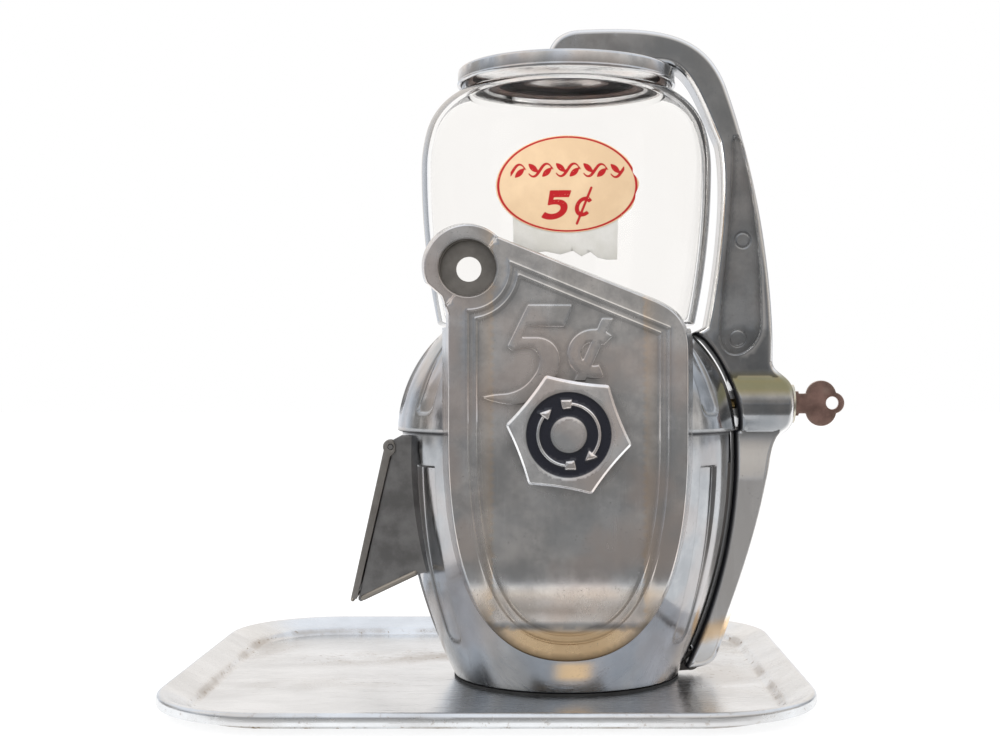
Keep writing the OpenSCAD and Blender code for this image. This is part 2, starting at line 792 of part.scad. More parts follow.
// Six-sided outline with slightly hollow sides
module knob_outline(r) {
  polygon([for (k = [0:5], i = [0:7])
    let (a = 60 * k - 9, p = r * [cos(a), sin(a)], q = r * [cos(a + 60), sin(a + 60)], t = i / 8,
         m = (p + q) / 2 / norm((p + q) / 2))
    p + (q - p) * t - m * knob_waist * 4 * t * (1 - t)]);
}
module knob() {
  y0 = -plate_front - 1 - knob_t;
  color([0.72, 0.73, 0.72]) difference() {
    union() {
      along_y(y0 + 1) linear_extrude(knob_t - 1) translate([0, shaft_z]) knob_outline(knob_r);
      along_y(y0) linear_extrude(2) translate([0, shaft_z]) knob_outline(knob_r - 1);
    }
    difference() {
      bar_y(0, shaft_z, knob_r * 0.665, y0 - 1, y0 + 1.2);
      bar_y(0, shaft_z, knob_r * 0.286, y0 - 2, y0 + 2);
    }
    bar_y(0, shaft_z, shaft_r, y0 + 4, 0);
  }
}
module knob_shaft() {
  color([0.60, 0.60, 0.58]) bar_y(0, shaft_z, shaft_r, -plate_front - knob_t + 3, -pinion_back + 3.5);
}
module coin_wheel() {
  color([0.72, 0.58, 0.30]) difference() {
    bar_y(0, shaft_z, coin_wheel_r, face_in_y + pass_gap + seat_gap, race_back_y - pass_gap);
    bore_y(0, shaft_z, shaft_r);
    bore_y(race_end[0] - 1.5, race_end[1] + 2.6, coin_d / 2 + 0.4);
  }
}
module ratchet_wheel() {
  color([0.55, 0.54, 0.52]) difference() {
    union() {
      along_y(ratchet_y) linear_extrude(ratchet_t) translate([0, shaft_z]) polygon(
        [for (k = [0:ratchet_teeth - 1], e = [0, 1]) let (s = 360 / ratchet_teeth, a = -s * k)
          e == 0 ? ratchet_r * [cos(a), sin(a)] : (ratchet_r - ratchet_tooth_h) * [cos(a - 1), sin(a - 1)]]);
      bar_y(0, shaft_z, hub_r, ratchet_y, ratchet_y + hub_h);
    }
    bore_y(0, shaft_z, shaft_r);
  }
}
module shaft_collar() {
  color([0.60, 0.60, 0.58]) difference() {
    bar_y(0, shaft_z, collar_r, bracket_y + bracket_t + pass_gap, -pinion_front - pass_gap);
    bore_y(0, shaft_z, shaft_r);
  }
}
// One drive tooth seen end on, pointing up from the pitch line, with straight sloping flanks
module tooth(tip, root, w) {
  polygon([[-w / 2 - root * 0.33, -root], [-w / 2, 0], [-w / 2 + tip * 0.36, tip],
           [w / 2 - tip * 0.36, tip], [w / 2, 0], [w / 2 + root * 0.33, -root]]);
}
module drive_pinion() {
  color([0.72, 0.58, 0.30]) difference() {
    union() {
      bar_y(0, shaft_z, pinion_pitch_r - tooth_root + 0.6, -pinion_front, -pinion_back);
      for (k = [0:pinion_teeth - 1]) along_y(-pinion_front)
        linear_extrude(pinion_front - pinion_back) translate([0, shaft_z])
          rotate(360 / pinion_teeth * (k + 0.5)) translate([0, pinion_pitch_r])
            tooth(tooth_tip, tooth_root + 1.5, tooth_w);
    }
    bore_y(0, shaft_z, shaft_r);
  }
}

// Pawl: its nose hangs just clear of the ratchet's teeth
module ratchet_pawl() {
  tip_a = 60;
  tip = [0, shaft_z] + (ratchet_r + pawl_gap) * [cos(tip_a), sin(tip_a)];
  color([0.55, 0.54, 0.52]) difference() {
    along_y(ratchet_y + 0.2) linear_extrude(ratchet_t - 0.4) union() {
      translate(pawl_pivot) circle(r = pawl_r);
      polygon([pawl_pivot + [-3.4, 2], tip + [0.4, 1.9], tip, tip + [1.9, -0.2], pawl_pivot + [-3, -2]]);
    }
    bore_y(pawl_pivot[0], pawl_pivot[1], pawl_pin_r + run_gap);
  }
}
module pawl_pin() {
  color([0.60, 0.60, 0.58]) union() {
    bar_y(pawl_pivot[0], pawl_pivot[1], pawl_pin_r, ratchet_y - 1, bracket_y + bracket_t);
    bar_y(pawl_pivot[0], pawl_pivot[1], pin_head_r, ratchet_y - 1.6, ratchet_y - 0.4);
  }
}
module pawl_spring() {
  color([0.50, 0.50, 0.50]) for (k = [0:2])
    along_y(ratchet_y + ratchet_t + 0.9 + spring_pitch * k) translate([pawl_pivot[0], pawl_pivot[1], 0])
      rotate_extrude() translate([spring_r, 0]) circle(r = spring_wire_r);
}

module product_wheel() {
  color([0.78, 0.72, 0.55]) difference() {
    union() {
      translate([0, 0, wheel_z]) cylinder(h = wheel_t, r = rim_in_r);
      translate([0, 0, crown_root_z]) cylinder(h = wheel_t + wheel_z - crown_root_z, r = wheel_r);
      difference() {
        intersection() {
          for (k = [0:crown_teeth - 1]) rotate([0, 0, 360 / crown_teeth * k])
            translate([0, 0, crown_pitch_z]) mirror([0, 0, 1]) along_y(-wheel_r - 2)
              linear_extrude(wheel_r) tooth(tooth_tip, tooth_root + 0.5, tooth_w);
          translate([0, 0, crown_pitch_z - 10]) cylinder(h = 20, r = wheel_r);
        }
        translate([0, 0, crown_pitch_z - 12]) cylinder(h = 24, r = rim_in_r);
      }
    }
    for (k = [0:pockets - 1]) rotate([0, 0, 360 / pockets * k + 180])
      translate([pocket_ring_r, 0, wheel_z - 1]) cylinder(h = wheel_t + 2, r = pocket_r);
    translate([0, 0, wheel_z - 1]) cylinder(h = wheel_t + 2, r = spindle_r + run_gap);
  }
}
module wheel_spindle() {
  color([0.60, 0.60, 0.58])
    translate([0, 0, well_floor_z - 5]) cylinder(h = nut_z + nut_t + 1.5 - well_floor_z + 5, r = spindle_r);
}
module spindle_nut() {
  color([0.72, 0.58, 0.30]) difference() {
    translate([0, 0, nut_z]) cylinder(h = nut_t, r = nut_r, $fn = 6);
    translate([0, 0, nut_z - 1]) cylinder(h = nut_t + 2, r = spindle_r);
  }
}
module stirrer() {
  arm_z = nut_z - pass_gap - 1.7;
  color([0.60, 0.60, 0.58]) difference() {
    union() {
      translate([0, 0, wheel_top_z]) cylinder(h = nut_z - pass_gap - wheel_top_z, r = stirrer_hub_r);
      bar_x(0, arm_z, 1.5, -well_r + 16, well_r - 16);
      for (x = [-well_r + 17.5, well_r - 17.5]) translate([x, 0, arm_z]) cylinder(h = finger_h, r = finger_r);
    }
    translate([0, 0, wheel_top_z - 1]) cylinder(h = 20, r = spindle_r + 0.4);
  }
}
module brush_holder() {
  color([0.60, 0.60, 0.58]) difference() {
    intersection() {
      block([-well_r - 5, -hood_half, hood_z],
            [-pocket_ring_r + pocket_r + 1 + hood_t, hood_half, hood_z + 4.1]);
      cylinder(h = 400, r = well_r - seat_gap);
    }
    block([-well_r + 6, hood_t - hood_half, hood_z - 1],
          [-pocket_ring_r + pocket_r + 1, hood_half - hood_t, hood_z + 2.6]);
  }
}
module dispensing_brush() {
  color([0.20, 0.17, 0.14])
    block([-well_r + 6.3, hood_t + 0.2 - hood_half, wheel_top_z + 0.2],
          [-pocket_ring_r + pocket_r + 0.8, hood_half - hood_t - 0.2, hood_z + 2.5]);
}

// Sloping trough from the hopper's outlet to the mouth in the body's side
module inner_chute() {
  half = chute_w / 2 - 4.5;
  top_z = well_floor_z - seat_gap;
  back_x = -10;
  end_x = 1.6 - mouth_in_x;
  end_z = mouth_foot_z + 2.5;
  side = [[back_x, top_z], [back_x, end_z + 48.5], [end_x, end_z], [end_x - 1.5, end_z],
          [end_x - 1.5, end_z + 39.5], [-well_r - well_t, top_z]];
  color([0.50, 0.50, 0.50]) {
    for (y = [-half, half - 1]) along_y(y) linear_extrude(1) polygon(side);
    along_y(-half) linear_extrude(2 * half)
      polygon([[back_x, end_z + 48.5], [end_x, end_z], [end_x - 3, end_z],
               [end_x - 3, end_z - 1], [end_x + 0.3, end_z - 1], [back_x, end_z + 47.1]]);
    along_y(-half) linear_extrude(2 * half) polygon(
      [[back_x, end_z + 47.3], [back_x, end_z + 57.5], [back_x + 1, end_z + 57.5],
       [back_x + 1, end_z + 46.5]]);
  }
}

module chute_snout() {
  half = chute_w / 2;
  root_x = -belly_r + 22.5;
  foot = [-belly_r + 9.7, mouth_foot_z - 0.8];
  color([0.38, 0.38, 0.38]) difference() {
    union() {
      for (y = [-half, half - chute_t]) along_y(y) linear_extrude(chute_t)
        polygon([[root_x, hinge_z - 5.2], [hinge_x + 1.5, hinge_z + 2.4], [hinge_x - 1.6, hinge_z + 1.4],
                 [hinge_x - 1.6, hinge_z - 1.2], [lip_x, lip_z + 0.4], [lip_x + 1, lip_z - 0.4],
                 foot, [root_x, foot[1] + 5.4]]);
      along_y(-half) linear_extrude(chute_w)
        polygon([[lip_x, lip_z + 1.6], [lip_x, lip_z + 0.4], [lip_x + 1, lip_z - 0.4], foot,
                 [root_x, foot[1] + 5.4], [root_x, foot[1] + 6.5], foot + [-0.4, 1],
                 [lip_x + 1.2, lip_z + 0.8]]);
    }
    casting_solid(seat_gap);
    bore_y(hinge_x, hinge_z, flap_pin_r);
  }
}
module chute_flap() {
  half = chute_w / 2 + 0.35;
  foot = [lip_x - 3.2, lip_z + 0.3];
  top = [hinge_x - 3, hinge_z - 1.4];
  color([0.42, 0.42, 0.42]) difference() {
    union() {
      along_y(-half - chute_t) linear_extrude(2 * (half + chute_t))
        polygon([foot, foot + [0.9, 0.1], top + [0.9, 0], top + [0.4, 3.6], top + [-0.5, 3.2], top]);
      for (y = [-half - chute_t, half]) along_y(y) linear_extrude(chute_t)
        polygon([foot, foot + [2.8, 0.7], top + [2.9, -2.6], [hinge_x + 2, hinge_z - 2],
                 [hinge_x + 2, hinge_z + 2], top + [0.4, 3.6], top]);
    }
    bore_y(hinge_x, hinge_z, flap_pin_r + run_gap);
  }
}
module flap_pin() {
  color([0.50, 0.50, 0.50])
    bar_y(hinge_x, hinge_z, flap_pin_r, -chute_w / 2 - 1.9, chute_w / 2 + 1.9);
}

// The arm's outline, drawn in X and Z
module arm_outline() {
  difference() {
    polygon(concat(
      curve([tip_x, arm_under_z + 2.1], [tip_x + 0.5, arm_top_z - 4.4], [tip_x + 6.5, arm_top_z - 0.8],
            [tip_x + 13.5, arm_top_z - 0.2], 6),
      curve([tip_x + 13.5, arm_top_z - 0.2], [globe_r - 22.8, arm_top_z + 1.6],
            [globe_r - 3.8, arm_top_z - 1.4], [globe_r + 5.6, arm_under_z - 8.8], 12),
      curve([globe_r + 5.6, arm_under_z - 8.8], [globe_r + 17.2, arm_under_z - 40.4],
            [arm_x + 0.1, lock_z + 64], [arm_x, lock_z + 21], 12),
      curve([arm_x, lock_z + 21], [arm_x + 0.5, lock_z + 15.5], [arm_x + 6.5, lock_z + 14.5],
            [arm_x + 7.1, lock_z + 9], 4),
      [[arm_x + 7.1, lock_z - 11]],
      curve([arm_x + 7.1, lock_z - 11], [arm_x + 0.5, lock_z - 15], [arm_x + 0.7, lock_z - 19],
            [arm_x - 0.9, lock_z - 26], 5),
      curve([arm_x - 0.9, lock_z - 26], [arm_x - 5, 68], [arm_x - 13.5, 42], [foot_r + 17.9, 13], 10),
      curve([foot_r + 17.9, 13], [foot_r + 16, 7.5], [foot_r + 13.1, 5.6], [pivot_x - 1.5, 5], 5),
      [[pivot_x - 6, 9.5], [pivot_x - 6, 40], [belly_r - 32.5, lock_z + 9], [seat_r - 0.3, seat_z - 4.5]],
      curve([globe_r - 3, seat_z + 0.5], [globe_r + 1.2, globe_mid_z - 48],
            [globe_r + 6.7, globe_mid_z - 10], [globe_r + 2.2, globe_mid_z + 12], 10),
      curve([globe_r + 2.2, globe_mid_z + 12], [globe_r - 6.8, arm_under_z - 13.4],
            [globe_r - 11, arm_under_z], [globe_r - 23, arm_under_z], 8),
      [[tip_x + 0.4, arm_under_z]]));
    casting_shadow();
  }
}
// What the castings and the running gap take from the arm's outline
module casting_shadow() {
  intersection() {
    translate([belly_r - belly_arc, belly_z]) circle(r = belly_arc + arm_gap, $fn = 360);
    translate([0, 0]) square([belly_r + 20, seam_z]);
  }
  intersection() {
    translate([dome_cx, dome_cz]) circle(r = dome_arc + arm_gap, $fn = 240);
    translate([0, seam_z - 0.1]) square([belly_r + 20, 45]);
  }
}
module arm_panel() {
  polygon(concat(
    curve([globe_r + 8.2, globe_mid_z + 12], [globe_r + 10.2, globe_mid_z + 19],
          [globe_r + 13.7, globe_mid_z + 12], [globe_r + 15.2, globe_mid_z + 4], 5),
    curve([globe_r + 15.2, globe_mid_z + 4], [arm_x - 6.5, lock_z + 84], [arm_x - 5, lock_z + 59],
          [arm_x - 4.9, lock_z + 35], 8),
    curve([arm_x - 4.9, lock_z + 35], [arm_x - 5.5, lock_z + 21], [belly_r - 3.8, lock_z + 15],
          [belly_r - 6.1, lock_z + 29], 8),
    curve([belly_r - 6.1, lock_z + 29], [belly_r - 5.3, lock_z + 51],
          [globe_r + 8.7, globe_mid_z - 19], [globe_r + 8.2, globe_mid_z + 12], 8)));
}
module arm() {
  half = arm_w / 2;
  color([0.62, 0.62, 0.62]) difference() {
    union() {
      along_y(-half) linear_extrude(arm_w) arm_outline();
      bar_x(0, lock_z, housing_r, dome_cx + dome_arc + arm_gap + 0.2, housing_end);
    }
    for (y = [-half - 1, half - 0.8]) along_y(y) linear_extrude(1.8) arm_panel();
    along_y(-lug_t / 2 - pass_gap) linear_extrude(lug_t + 2 * pass_gap) {
      translate([pivot_x, pivot_z]) circle(r = lug_r + 1);
      translate([foot_r - 9, 0]) square([pivot_x - foot_r + 9, 22]);
      translate([foot_r - 9, 0]) square([pivot_x - foot_r + 9 + lug_r + 1, pivot_z]);
    }
    bar_y(pivot_x, pivot_z, pivot_r, -half + 2.6, half + 1);
    bar_x(0, lock_z, barrel_r, lock_web_x, housing_end + 1);
    bar_x(0, lock_z, neck_out_r, lock_nut_x, housing_end);
    bar_x(0, lock_z, lock_nut_r + 0.9, 0, lock_nut_x);
  }
}
module arm_pivot_pin() {
  color([0.60, 0.60, 0.58]) bar_y(pivot_x, pivot_z, pivot_r, -arm_w / 2 + 2.6, arm_w / 2);
}
module lid_pad() {
  color([0.10, 0.10, 0.10])
    translate([0, 0, lid_top_z + lid_crown]) cylinder(h = pad_t, r = pad_r);
}

module lock_barrel() {
  color([0.75, 0.62, 0.35]) difference() {
    union() {
      bar_x(0, lock_z, barrel_r, lock_web_x, housing_end + 0.5);
      bar_x(0, lock_z, neck_out_r, plug_end, housing_end);
    }
    bore_x(0, lock_z, plug_r + run_gap);
  }
}
module lock_nut() {
  color([0.60, 0.60, 0.58]) difference() {
    along_x(lock_nut_x - lock_nut_t) linear_extrude(lock_nut_t) translate([0, lock_z])
      circle(r = lock_nut_r, $fn = 6);
    bore_x(0, lock_z, neck_out_r);
  }
}
module lock_plug() {
  color([0.72, 0.58, 0.30]) difference() {
    union() {
      bar_x(0, lock_z, plug_r, plug_end, housing_end + 0.5);
      bar_x(0, lock_z, tail_r, cam_x, plug_end + 1);
    }
    block([housing_end - shank_l + 0.5, -key_t / 2 - run_gap, lock_z - key_h / 2 - run_gap],
          [housing_end + 2, key_t / 2 + run_gap, lock_z + key_h / 2 + run_gap]);
    bar_x(0, lock_z, cam_screw_r, cam_x - 1, cam_x + 6);
  }
}
module lock_cam() {
  color([0.60, 0.60, 0.58]) difference() {
    along_x(cam_x - cam_t) linear_extrude(cam_t) hull() for (s = [-1, 1])
      translate([0, lock_z + s * (cam_l - tail_r)]) circle(r = tail_r);
    bore_x(0, lock_z, cam_screw_r);
  }
}
module cam_screw() {
  color([0.60, 0.60, 0.58]) union() {
    bar_x(0, lock_z, cam_screw_r, cam_x - cam_t - 0.5, cam_x + 5);
    bar_x(0, lock_z, tail_r - 0.1, cam_x - cam_t - 1.4, cam_x - cam_t);
  }
}
module key() {
  color([0.33, 0.26, 0.24]) along_y(-key_t / 2) linear_extrude(key_t) difference() {
    union() {
      translate([housing_end + 1 - shank_l, lock_z - key_h / 2]) square([shank_l, key_h]);
      translate([housing_end + 0.6, lock_z - key_h / 2 - 0.7]) square([bow_r - 4, key_h + 1.6]);
      translate([bow_x, lock_z + 0.3]) circle(r = bow_r);
      translate([bow_x + bow_end_r - 0.1, lock_z + 0.1]) circle(r = bow_end_r);
    }
    translate([bow_x + bow_end_r - 0.4, lock_z + 0.5]) circle(r = bow_hole_r);
  }
}

tray();
tray_screws();
foot_gasket();
lower_body();
hopper_dome();
globe_gasket();
globe();
lid_gasket();
lid();
coin_plate();
plate_screws();
coin_raceway();
front_bush();
rear_bush();
mechanism_bracket();
bracket_screws();
knob();
knob_shaft();
coin_wheel();
ratchet_wheel();
shaft_collar();
drive_pinion();
ratchet_pawl();
pawl_pin();
pawl_spring();
product_wheel();
wheel_spindle();
spindle_nut();
stirrer();
brush_holder();
dispensing_brush();
inner_chute();
chute_snout();
chute_flap();
flap_pin();
arm();
arm_pivot_pin();
lid_pad();
lock_barrel();
lock_nut();
lock_plug();
lock_cam();
cam_screw();
key();
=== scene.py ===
"""Looks of a coin-operated nut vendor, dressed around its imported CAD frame."""

import math

import bpy
import numpy as np
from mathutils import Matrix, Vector
from mathutils.geometry import delaunay_2d_cdt


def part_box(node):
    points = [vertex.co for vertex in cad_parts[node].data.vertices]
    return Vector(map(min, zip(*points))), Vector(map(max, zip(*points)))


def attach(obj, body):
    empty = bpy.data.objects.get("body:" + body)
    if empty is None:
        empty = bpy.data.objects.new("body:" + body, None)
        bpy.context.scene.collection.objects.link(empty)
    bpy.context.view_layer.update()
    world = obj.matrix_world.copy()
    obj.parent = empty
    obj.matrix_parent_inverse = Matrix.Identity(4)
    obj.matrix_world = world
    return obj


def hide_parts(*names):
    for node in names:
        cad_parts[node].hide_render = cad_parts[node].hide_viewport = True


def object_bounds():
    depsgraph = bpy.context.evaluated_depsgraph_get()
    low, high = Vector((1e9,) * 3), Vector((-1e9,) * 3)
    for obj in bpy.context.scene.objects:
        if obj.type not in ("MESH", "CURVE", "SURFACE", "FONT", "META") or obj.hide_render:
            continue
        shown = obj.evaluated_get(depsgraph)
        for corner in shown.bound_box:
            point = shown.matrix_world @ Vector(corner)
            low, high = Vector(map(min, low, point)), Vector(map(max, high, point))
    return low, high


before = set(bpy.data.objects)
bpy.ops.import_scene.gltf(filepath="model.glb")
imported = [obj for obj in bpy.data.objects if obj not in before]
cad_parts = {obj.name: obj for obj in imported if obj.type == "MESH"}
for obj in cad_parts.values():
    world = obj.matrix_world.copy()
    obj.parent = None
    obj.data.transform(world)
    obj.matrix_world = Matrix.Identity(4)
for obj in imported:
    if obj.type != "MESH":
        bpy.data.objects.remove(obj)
cad_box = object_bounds()

MM = 0.001


# Points, outlines and distance fields, all in millimetres; outlines are drawn in X and Z

def cubic(a, b, c, d, steps):
    """Points along a cubic curve, without its last one."""
    t = np.arange(steps)[:, None] / steps
    a, b, c, d = (np.array(p, float) for p in (a, b, c, d))
    return list((1 - t) ** 3 * a + 3 * (1 - t) ** 2 * t * b + 3 * (1 - t) * t ** 2 * c + t ** 3 * d)


def arc(centre, radius, degrees):
    """Points of a circle at some angles."""
    return [(centre[0] + radius * math.cos(w), centre[1] + radius * math.sin(w)) for w in np.radians(degrees)]


def ring(centre, radius, steps=96, start=0.0, turn=360.0):
    """Points evenly round a circle, or along a part of it without its last one."""
    return np.array(arc(centre, radius, start + turn * np.arange(steps) / steps))


def even(loop, gap):
    """The closed loop with points about gap apart along each of its sides."""
    loop = np.array(loop, float)
    out = []
    for p, q in zip(loop, np.roll(loop, -1, axis=0)):
        steps = max(1, round(float(np.linalg.norm(q - p)) / gap))
        out += [p + (q - p) * k / steps for k in range(steps)]
    return np.array(out)


def depth_inside(points, loop):
    """Signed distance to a closed loop, positive inside."""
    points, loop = np.asarray(points, float), np.asarray(loop, float)
    near = np.full(len(points), 1e9)
    odd = np.zeros(len(points), bool)
    for a, b in zip(loop, np.roll(loop, -1, axis=0)):
        edge = b - a
        share = np.clip((points - a) @ edge / max(edge @ edge, 1e-12), 0, 1)
        near = np.minimum(near, np.linalg.norm(points - a - share[:, None] * edge, axis=1))
        if a[1] != b[1]:
            cross = (a[1] > points[:, 1]) != (b[1] > points[:, 1])
            odd ^= cross & (points[:, 0] < a[0] + (points[:, 1] - a[1]) * edge[0] / edge[1])
    return np.where(odd, near, -near)


def step(value, low, high):
    """Smooth step from 0 at low to 1 at high."""
    t = np.clip((value - low) / (high - low), 0, 1)
    return t * t * (3 - 2 * t)


def bell(value, at, width, power=2):
    """1 at one value, fading to 0 at both sides; a high power makes the middle flat."""
    return np.exp(-(np.abs(value - at) / width) ** power)


def bearing(points):
    """The points' angles from the front, in degrees."""
    return np.degrees(np.arctan2(points[:, 0], -points[:, 1]))


def lattice(loop, pitch):
    """A square grid of points that covers a loop, as an array of rows."""
    low, high = loop.min(0) - 2 * pitch, loop.max(0) + 3 * pitch
    return np.stack(np.meshgrid(np.arange(low[0], high[0], pitch), np.arange(low[1], high[1], pitch),
                                indexing="ij"), -1)


def contours(grid, value):
    """Closed loops along which the values of a grid's points change sign."""
    value = np.where(value == 0, 1e-6, value)
    sign = value > 0
    whole = (sign[:-1, :-1].astype(int) + sign[1:, :-1] + sign[1:, 1:] + sign[:-1, 1:]) % 4 == 0
    links = {}
    for i, j in np.argwhere(~whole).tolist():
        corners = ((i, j), (i + 1, j), (i + 1, j + 1), (i, j + 1))
        cuts = [(a, b) if a < b else (b, a) for a, b in zip(corners, corners[1:] + corners[:1])
                if sign[a] != sign[b]]
        for a, b in zip(cuts[::2], cuts[1::2]):
            links.setdefault(a, []).append(b)
            links.setdefault(b, []).append(a)
    loops = []
    while links:
        start = here = next(iter(links))
        chain = [start]
        while links.get(here):
            ahead = links[here].pop()
            links[ahead].remove(here)
            if ahead == start:
                break
            chain.append(ahead)
            here = ahead
        links = {k: v for k, v in links.items() if v}
        if len(chain) > 8:
            loops.append(np.array([grid[a] + (grid[b] - grid[a]) * value[a] / (value[a] - value[b])
                                   for a, b in chain]))
    return loops


def thin_out(loop, gap):
    """The loop without the points that lie closer than gap to the last one kept."""
    kept = [loop[0]]
    for p in loop[1:]:
        if np.linalg.norm(p - kept[-1]) >= gap:
            kept.append(p)
    return np.array(kept)


def triangles(loops, inside, gap):
    """Points and counter-clockwise triangles that fill a flat region. The loops are kept as edges,
    and inside(points) tells how deep in the region a point lies."""
    low = np.min([l.min(0) for l in loops], 0)
    high = np.max([l.max(0) for l in loops], 0)
    rows = enumerate(np.arange(low[1], high[1], gap * 0.87))
    grid = np.array([(x + 0.5 * gap * (k % 2), z) for k, z in rows for x in np.arange(low[0], high[0], gap)])
    grid = grid[inside(grid) > gap * 0.5]
    fixed = np.concatenate(loops)
    cells = {}
    for p in fixed:
        cells.setdefault((int(p[0] // gap), int(p[1] // gap)), []).append(p)
    free = []
    for p in grid:
        i, j = int(p[0] // gap), int(p[1] // gap)
        near = [q for di in (-1, 0, 1) for dj in (-1, 0, 1) for q in cells.get((i + di, j + dj), ())]
        if all((q[0] - p[0]) ** 2 + (q[1] - p[1]) ** 2 > (0.55 * gap) ** 2 for q in near):
            free.append(p)
    points = np.concatenate([fixed] + ([np.array(free)] if free else []))
    edges, start = [], 0
    for loop in loops:
        edges += [(start + k, start + (k + 1) % len(loop)) for k in range(len(loop))]
        start += len(loop)
    verts, _, faces, _, _, _ = delaunay_2d_cdt([Vector(p) for p in points], edges, [], 0, 1e-5)
    verts = np.array([tuple(v) for v in verts])
    faces = np.array([f for f in faces if len(f) == 3])
    faces = faces[inside(verts[faces].mean(1)) > 0]
    corner = verts[faces]
    one, two = corner[:, 1] - corner[:, 0], corner[:, 2] - corner[:, 0]
    wound = one[:, 0] * two[:, 1] > one[:, 1] * two[:, 0]
    return verts, np.where(wound[:, None], faces, faces[:, ::-1])


def slope(field, points, reach=0.06):
    """How fast a field of flat points grows along X and along Z."""
    return np.stack([(field(points + d) - field(points - d)) / (2 * reach)
                     for d in (np.array([reach, 0]), np.array([0, reach]))], 1)


def relief(outline, holes, features, front, back, gap, edge_r=0.6, fine=0.5):
    """Verts, faces, flat points and normals of a plate drawn in X and Z. front and back give Y at
    flat points, and both sides have the same mesh. The edges, also of holes, are rounded by edge_r.
    features are (field, levels) pairs, and the mesh follows the field's lines at those levels."""
    holes = [np.array(h) for h in holes]

    def inside(points):
        depth = depth_inside(points, outline)
        for hole in holes:
            depth = np.minimum(depth, -depth_inside(points, hole))
        return depth

    grid = lattice(outline, fine)
    shape = grid.shape[:2]
    depth = inside(grid.reshape(-1, 2)).reshape(shape)
    loops = [outline] + holes
    for share in (0.12, 0.45, 1.0) if edge_r < 1.5 else (0.04, 0.14, 0.30, 0.50, 0.75, 1.0):
        loops += [thin_out(l, gap * 0.55) for l in contours(grid, depth - share * edge_r)]
    for field, levels in features:
        value = field(grid.reshape(-1, 2)).reshape(shape)
        for level in levels:
            loops += [thin_out(l, gap * 0.4)
                      for l in contours(grid, np.minimum(value - level, depth - edge_r * 1.3))]
    flat, faces = triangles([l for l in loops if len(l) > 4], inside, gap)
    out = 1 - np.clip(inside(flat), 0, edge_r) / edge_r
    rest = np.sqrt(np.maximum(0, 1 - out ** 2))
    lip = edge_r * (1 - rest)
    sides = front(flat) + lip, back(flat) - lip
    verts = np.concatenate([np.stack([flat[:, 0], y, flat[:, 1]], 1) for y in sides])
    away = -slope(inside, flat) * out[:, None]
    normals = []
    for side, sign in ((front, -1), (back, 1)):
        lean = -sign * slope(side, flat) * rest[:, None] + away
        normals.append(np.stack([lean[:, 0], sign * rest, lean[:, 1]], 1))
    normals = np.concatenate(normals)
    normals /= np.maximum(np.linalg.norm(normals, axis=1), 1e-9)[:, None]
    directed = {(int(f[k]), int(f[k - 2])) for f in faces for k in range(3)}
    count = len(flat)
    rim = [(b, a, a + count, b + count) for a, b in directed if (b, a) not in directed]
    return verts, faces.tolist() + (faces[:, ::-1] + count).tolist() + rim, flat, normals


def cut(target, *shapes, operation="DIFFERENCE"):
    """Cuts closed shapes, each (verts, faces), from a piece, or adds them to it."""
    verts, faces = join(*shapes)
    mesh = bpy.data.meshes.new("cutter")
    mesh.from_pydata((verts * MM).tolist(), [], faces)
    other = bpy.data.objects.new("cutter", mesh)
    bpy.context.scene.collection.objects.link(other)
    modifier = target.modifiers.new("cut", "BOOLEAN")
    modifier.operation, modifier.solver, modifier.object = operation, "EXACT", other
    modifier.use_self = len(shapes) > 1
    settled = bpy.data.meshes.new_from_object(
        target.evaluated_get(bpy.context.evaluated_depsgraph_get()))
    target.modifiers.clear()
    target.data = settled
    bpy.data.objects.remove(other)


def box_shape(low, high):
    """A box between two corners, for cutting."""
    (a, b, c), (d, e, f) = low, high
    verts = [(x, y, z) for x in (a, d) for y in (b, e) for z in (c, f)]
    return verts, [(0, 1, 3, 2), (4, 6, 7, 5), (0, 4, 5, 1), (2, 3, 7, 6), (0, 2, 6, 4), (1, 5, 7, 3)]


def prism(loop, y0, y1):
    """A closed prism over a loop in X and Z, for cutting."""
    loop = np.asarray(loop, float)
    count = len(loop)
    verts = [(x, y, z) for y in (y0, y1) for x, z in loop]
    area = float(np.sum(loop[:, 0] * np.roll(loop[:, 1], -1) - loop[:, 1] * np.roll(loop[:, 0], -1)))
    order = list(range(count)) if area > 0 else list(range(count))[::-1]
    faces = [tuple(order), tuple(i + count for i in reversed(order))]
    for a, b in zip(order, order[1:] + order[:1]):
        faces.append((b, a, a + count, b + count))
    return verts, faces


def turned(profile, steps=160):
    """A closed solid of revolution about Z from a closed profile of (radius, z) points."""
    profile = np.array(profile, float)
    angles = np.radians(360.0 * np.arange(steps) / steps)
    count = len(profile)
    verts = np.stack([np.outer(np.cos(angles), profile[:, 0]), np.outer(np.sin(angles), profile[:, 0]),
                      np.tile(profile[:, 1], (steps, 1))], -1).reshape(-1, 3)
    faces = []
    for s in range(steps):
        for k in range(count):
            a, b = s * count + k, s * count + (k + 1) % count
            c, d = ((s + 1) % steps) * count + (k + 1) % count, ((s + 1) % steps) * count + k
            on_axis = profile[k, 0] < 1e-6, profile[(k + 1) % count, 0] < 1e-6
            if all(on_axis):
                continue
            faces.append((a, b, c, d))
    return merge(verts, faces)


def merge(verts, faces, pitch=1e-4):
    """The mesh with the points that coincide made one, and without the faces that this shuts."""
    keys = np.round(np.asarray(verts) / pitch).astype(np.int64)
    _, first, back = np.unique(keys, axis=0, return_index=True, return_inverse=True)
    back = back.reshape(-1)
    kept = []
    for face in faces:
        loop = [int(back[v]) for v in face]
        loop = [v for i, v in enumerate(loop) if v != loop[i - 1]]
        if len(set(loop)) > 2:
            kept.append(tuple(loop))
    return np.asarray(verts)[first], kept


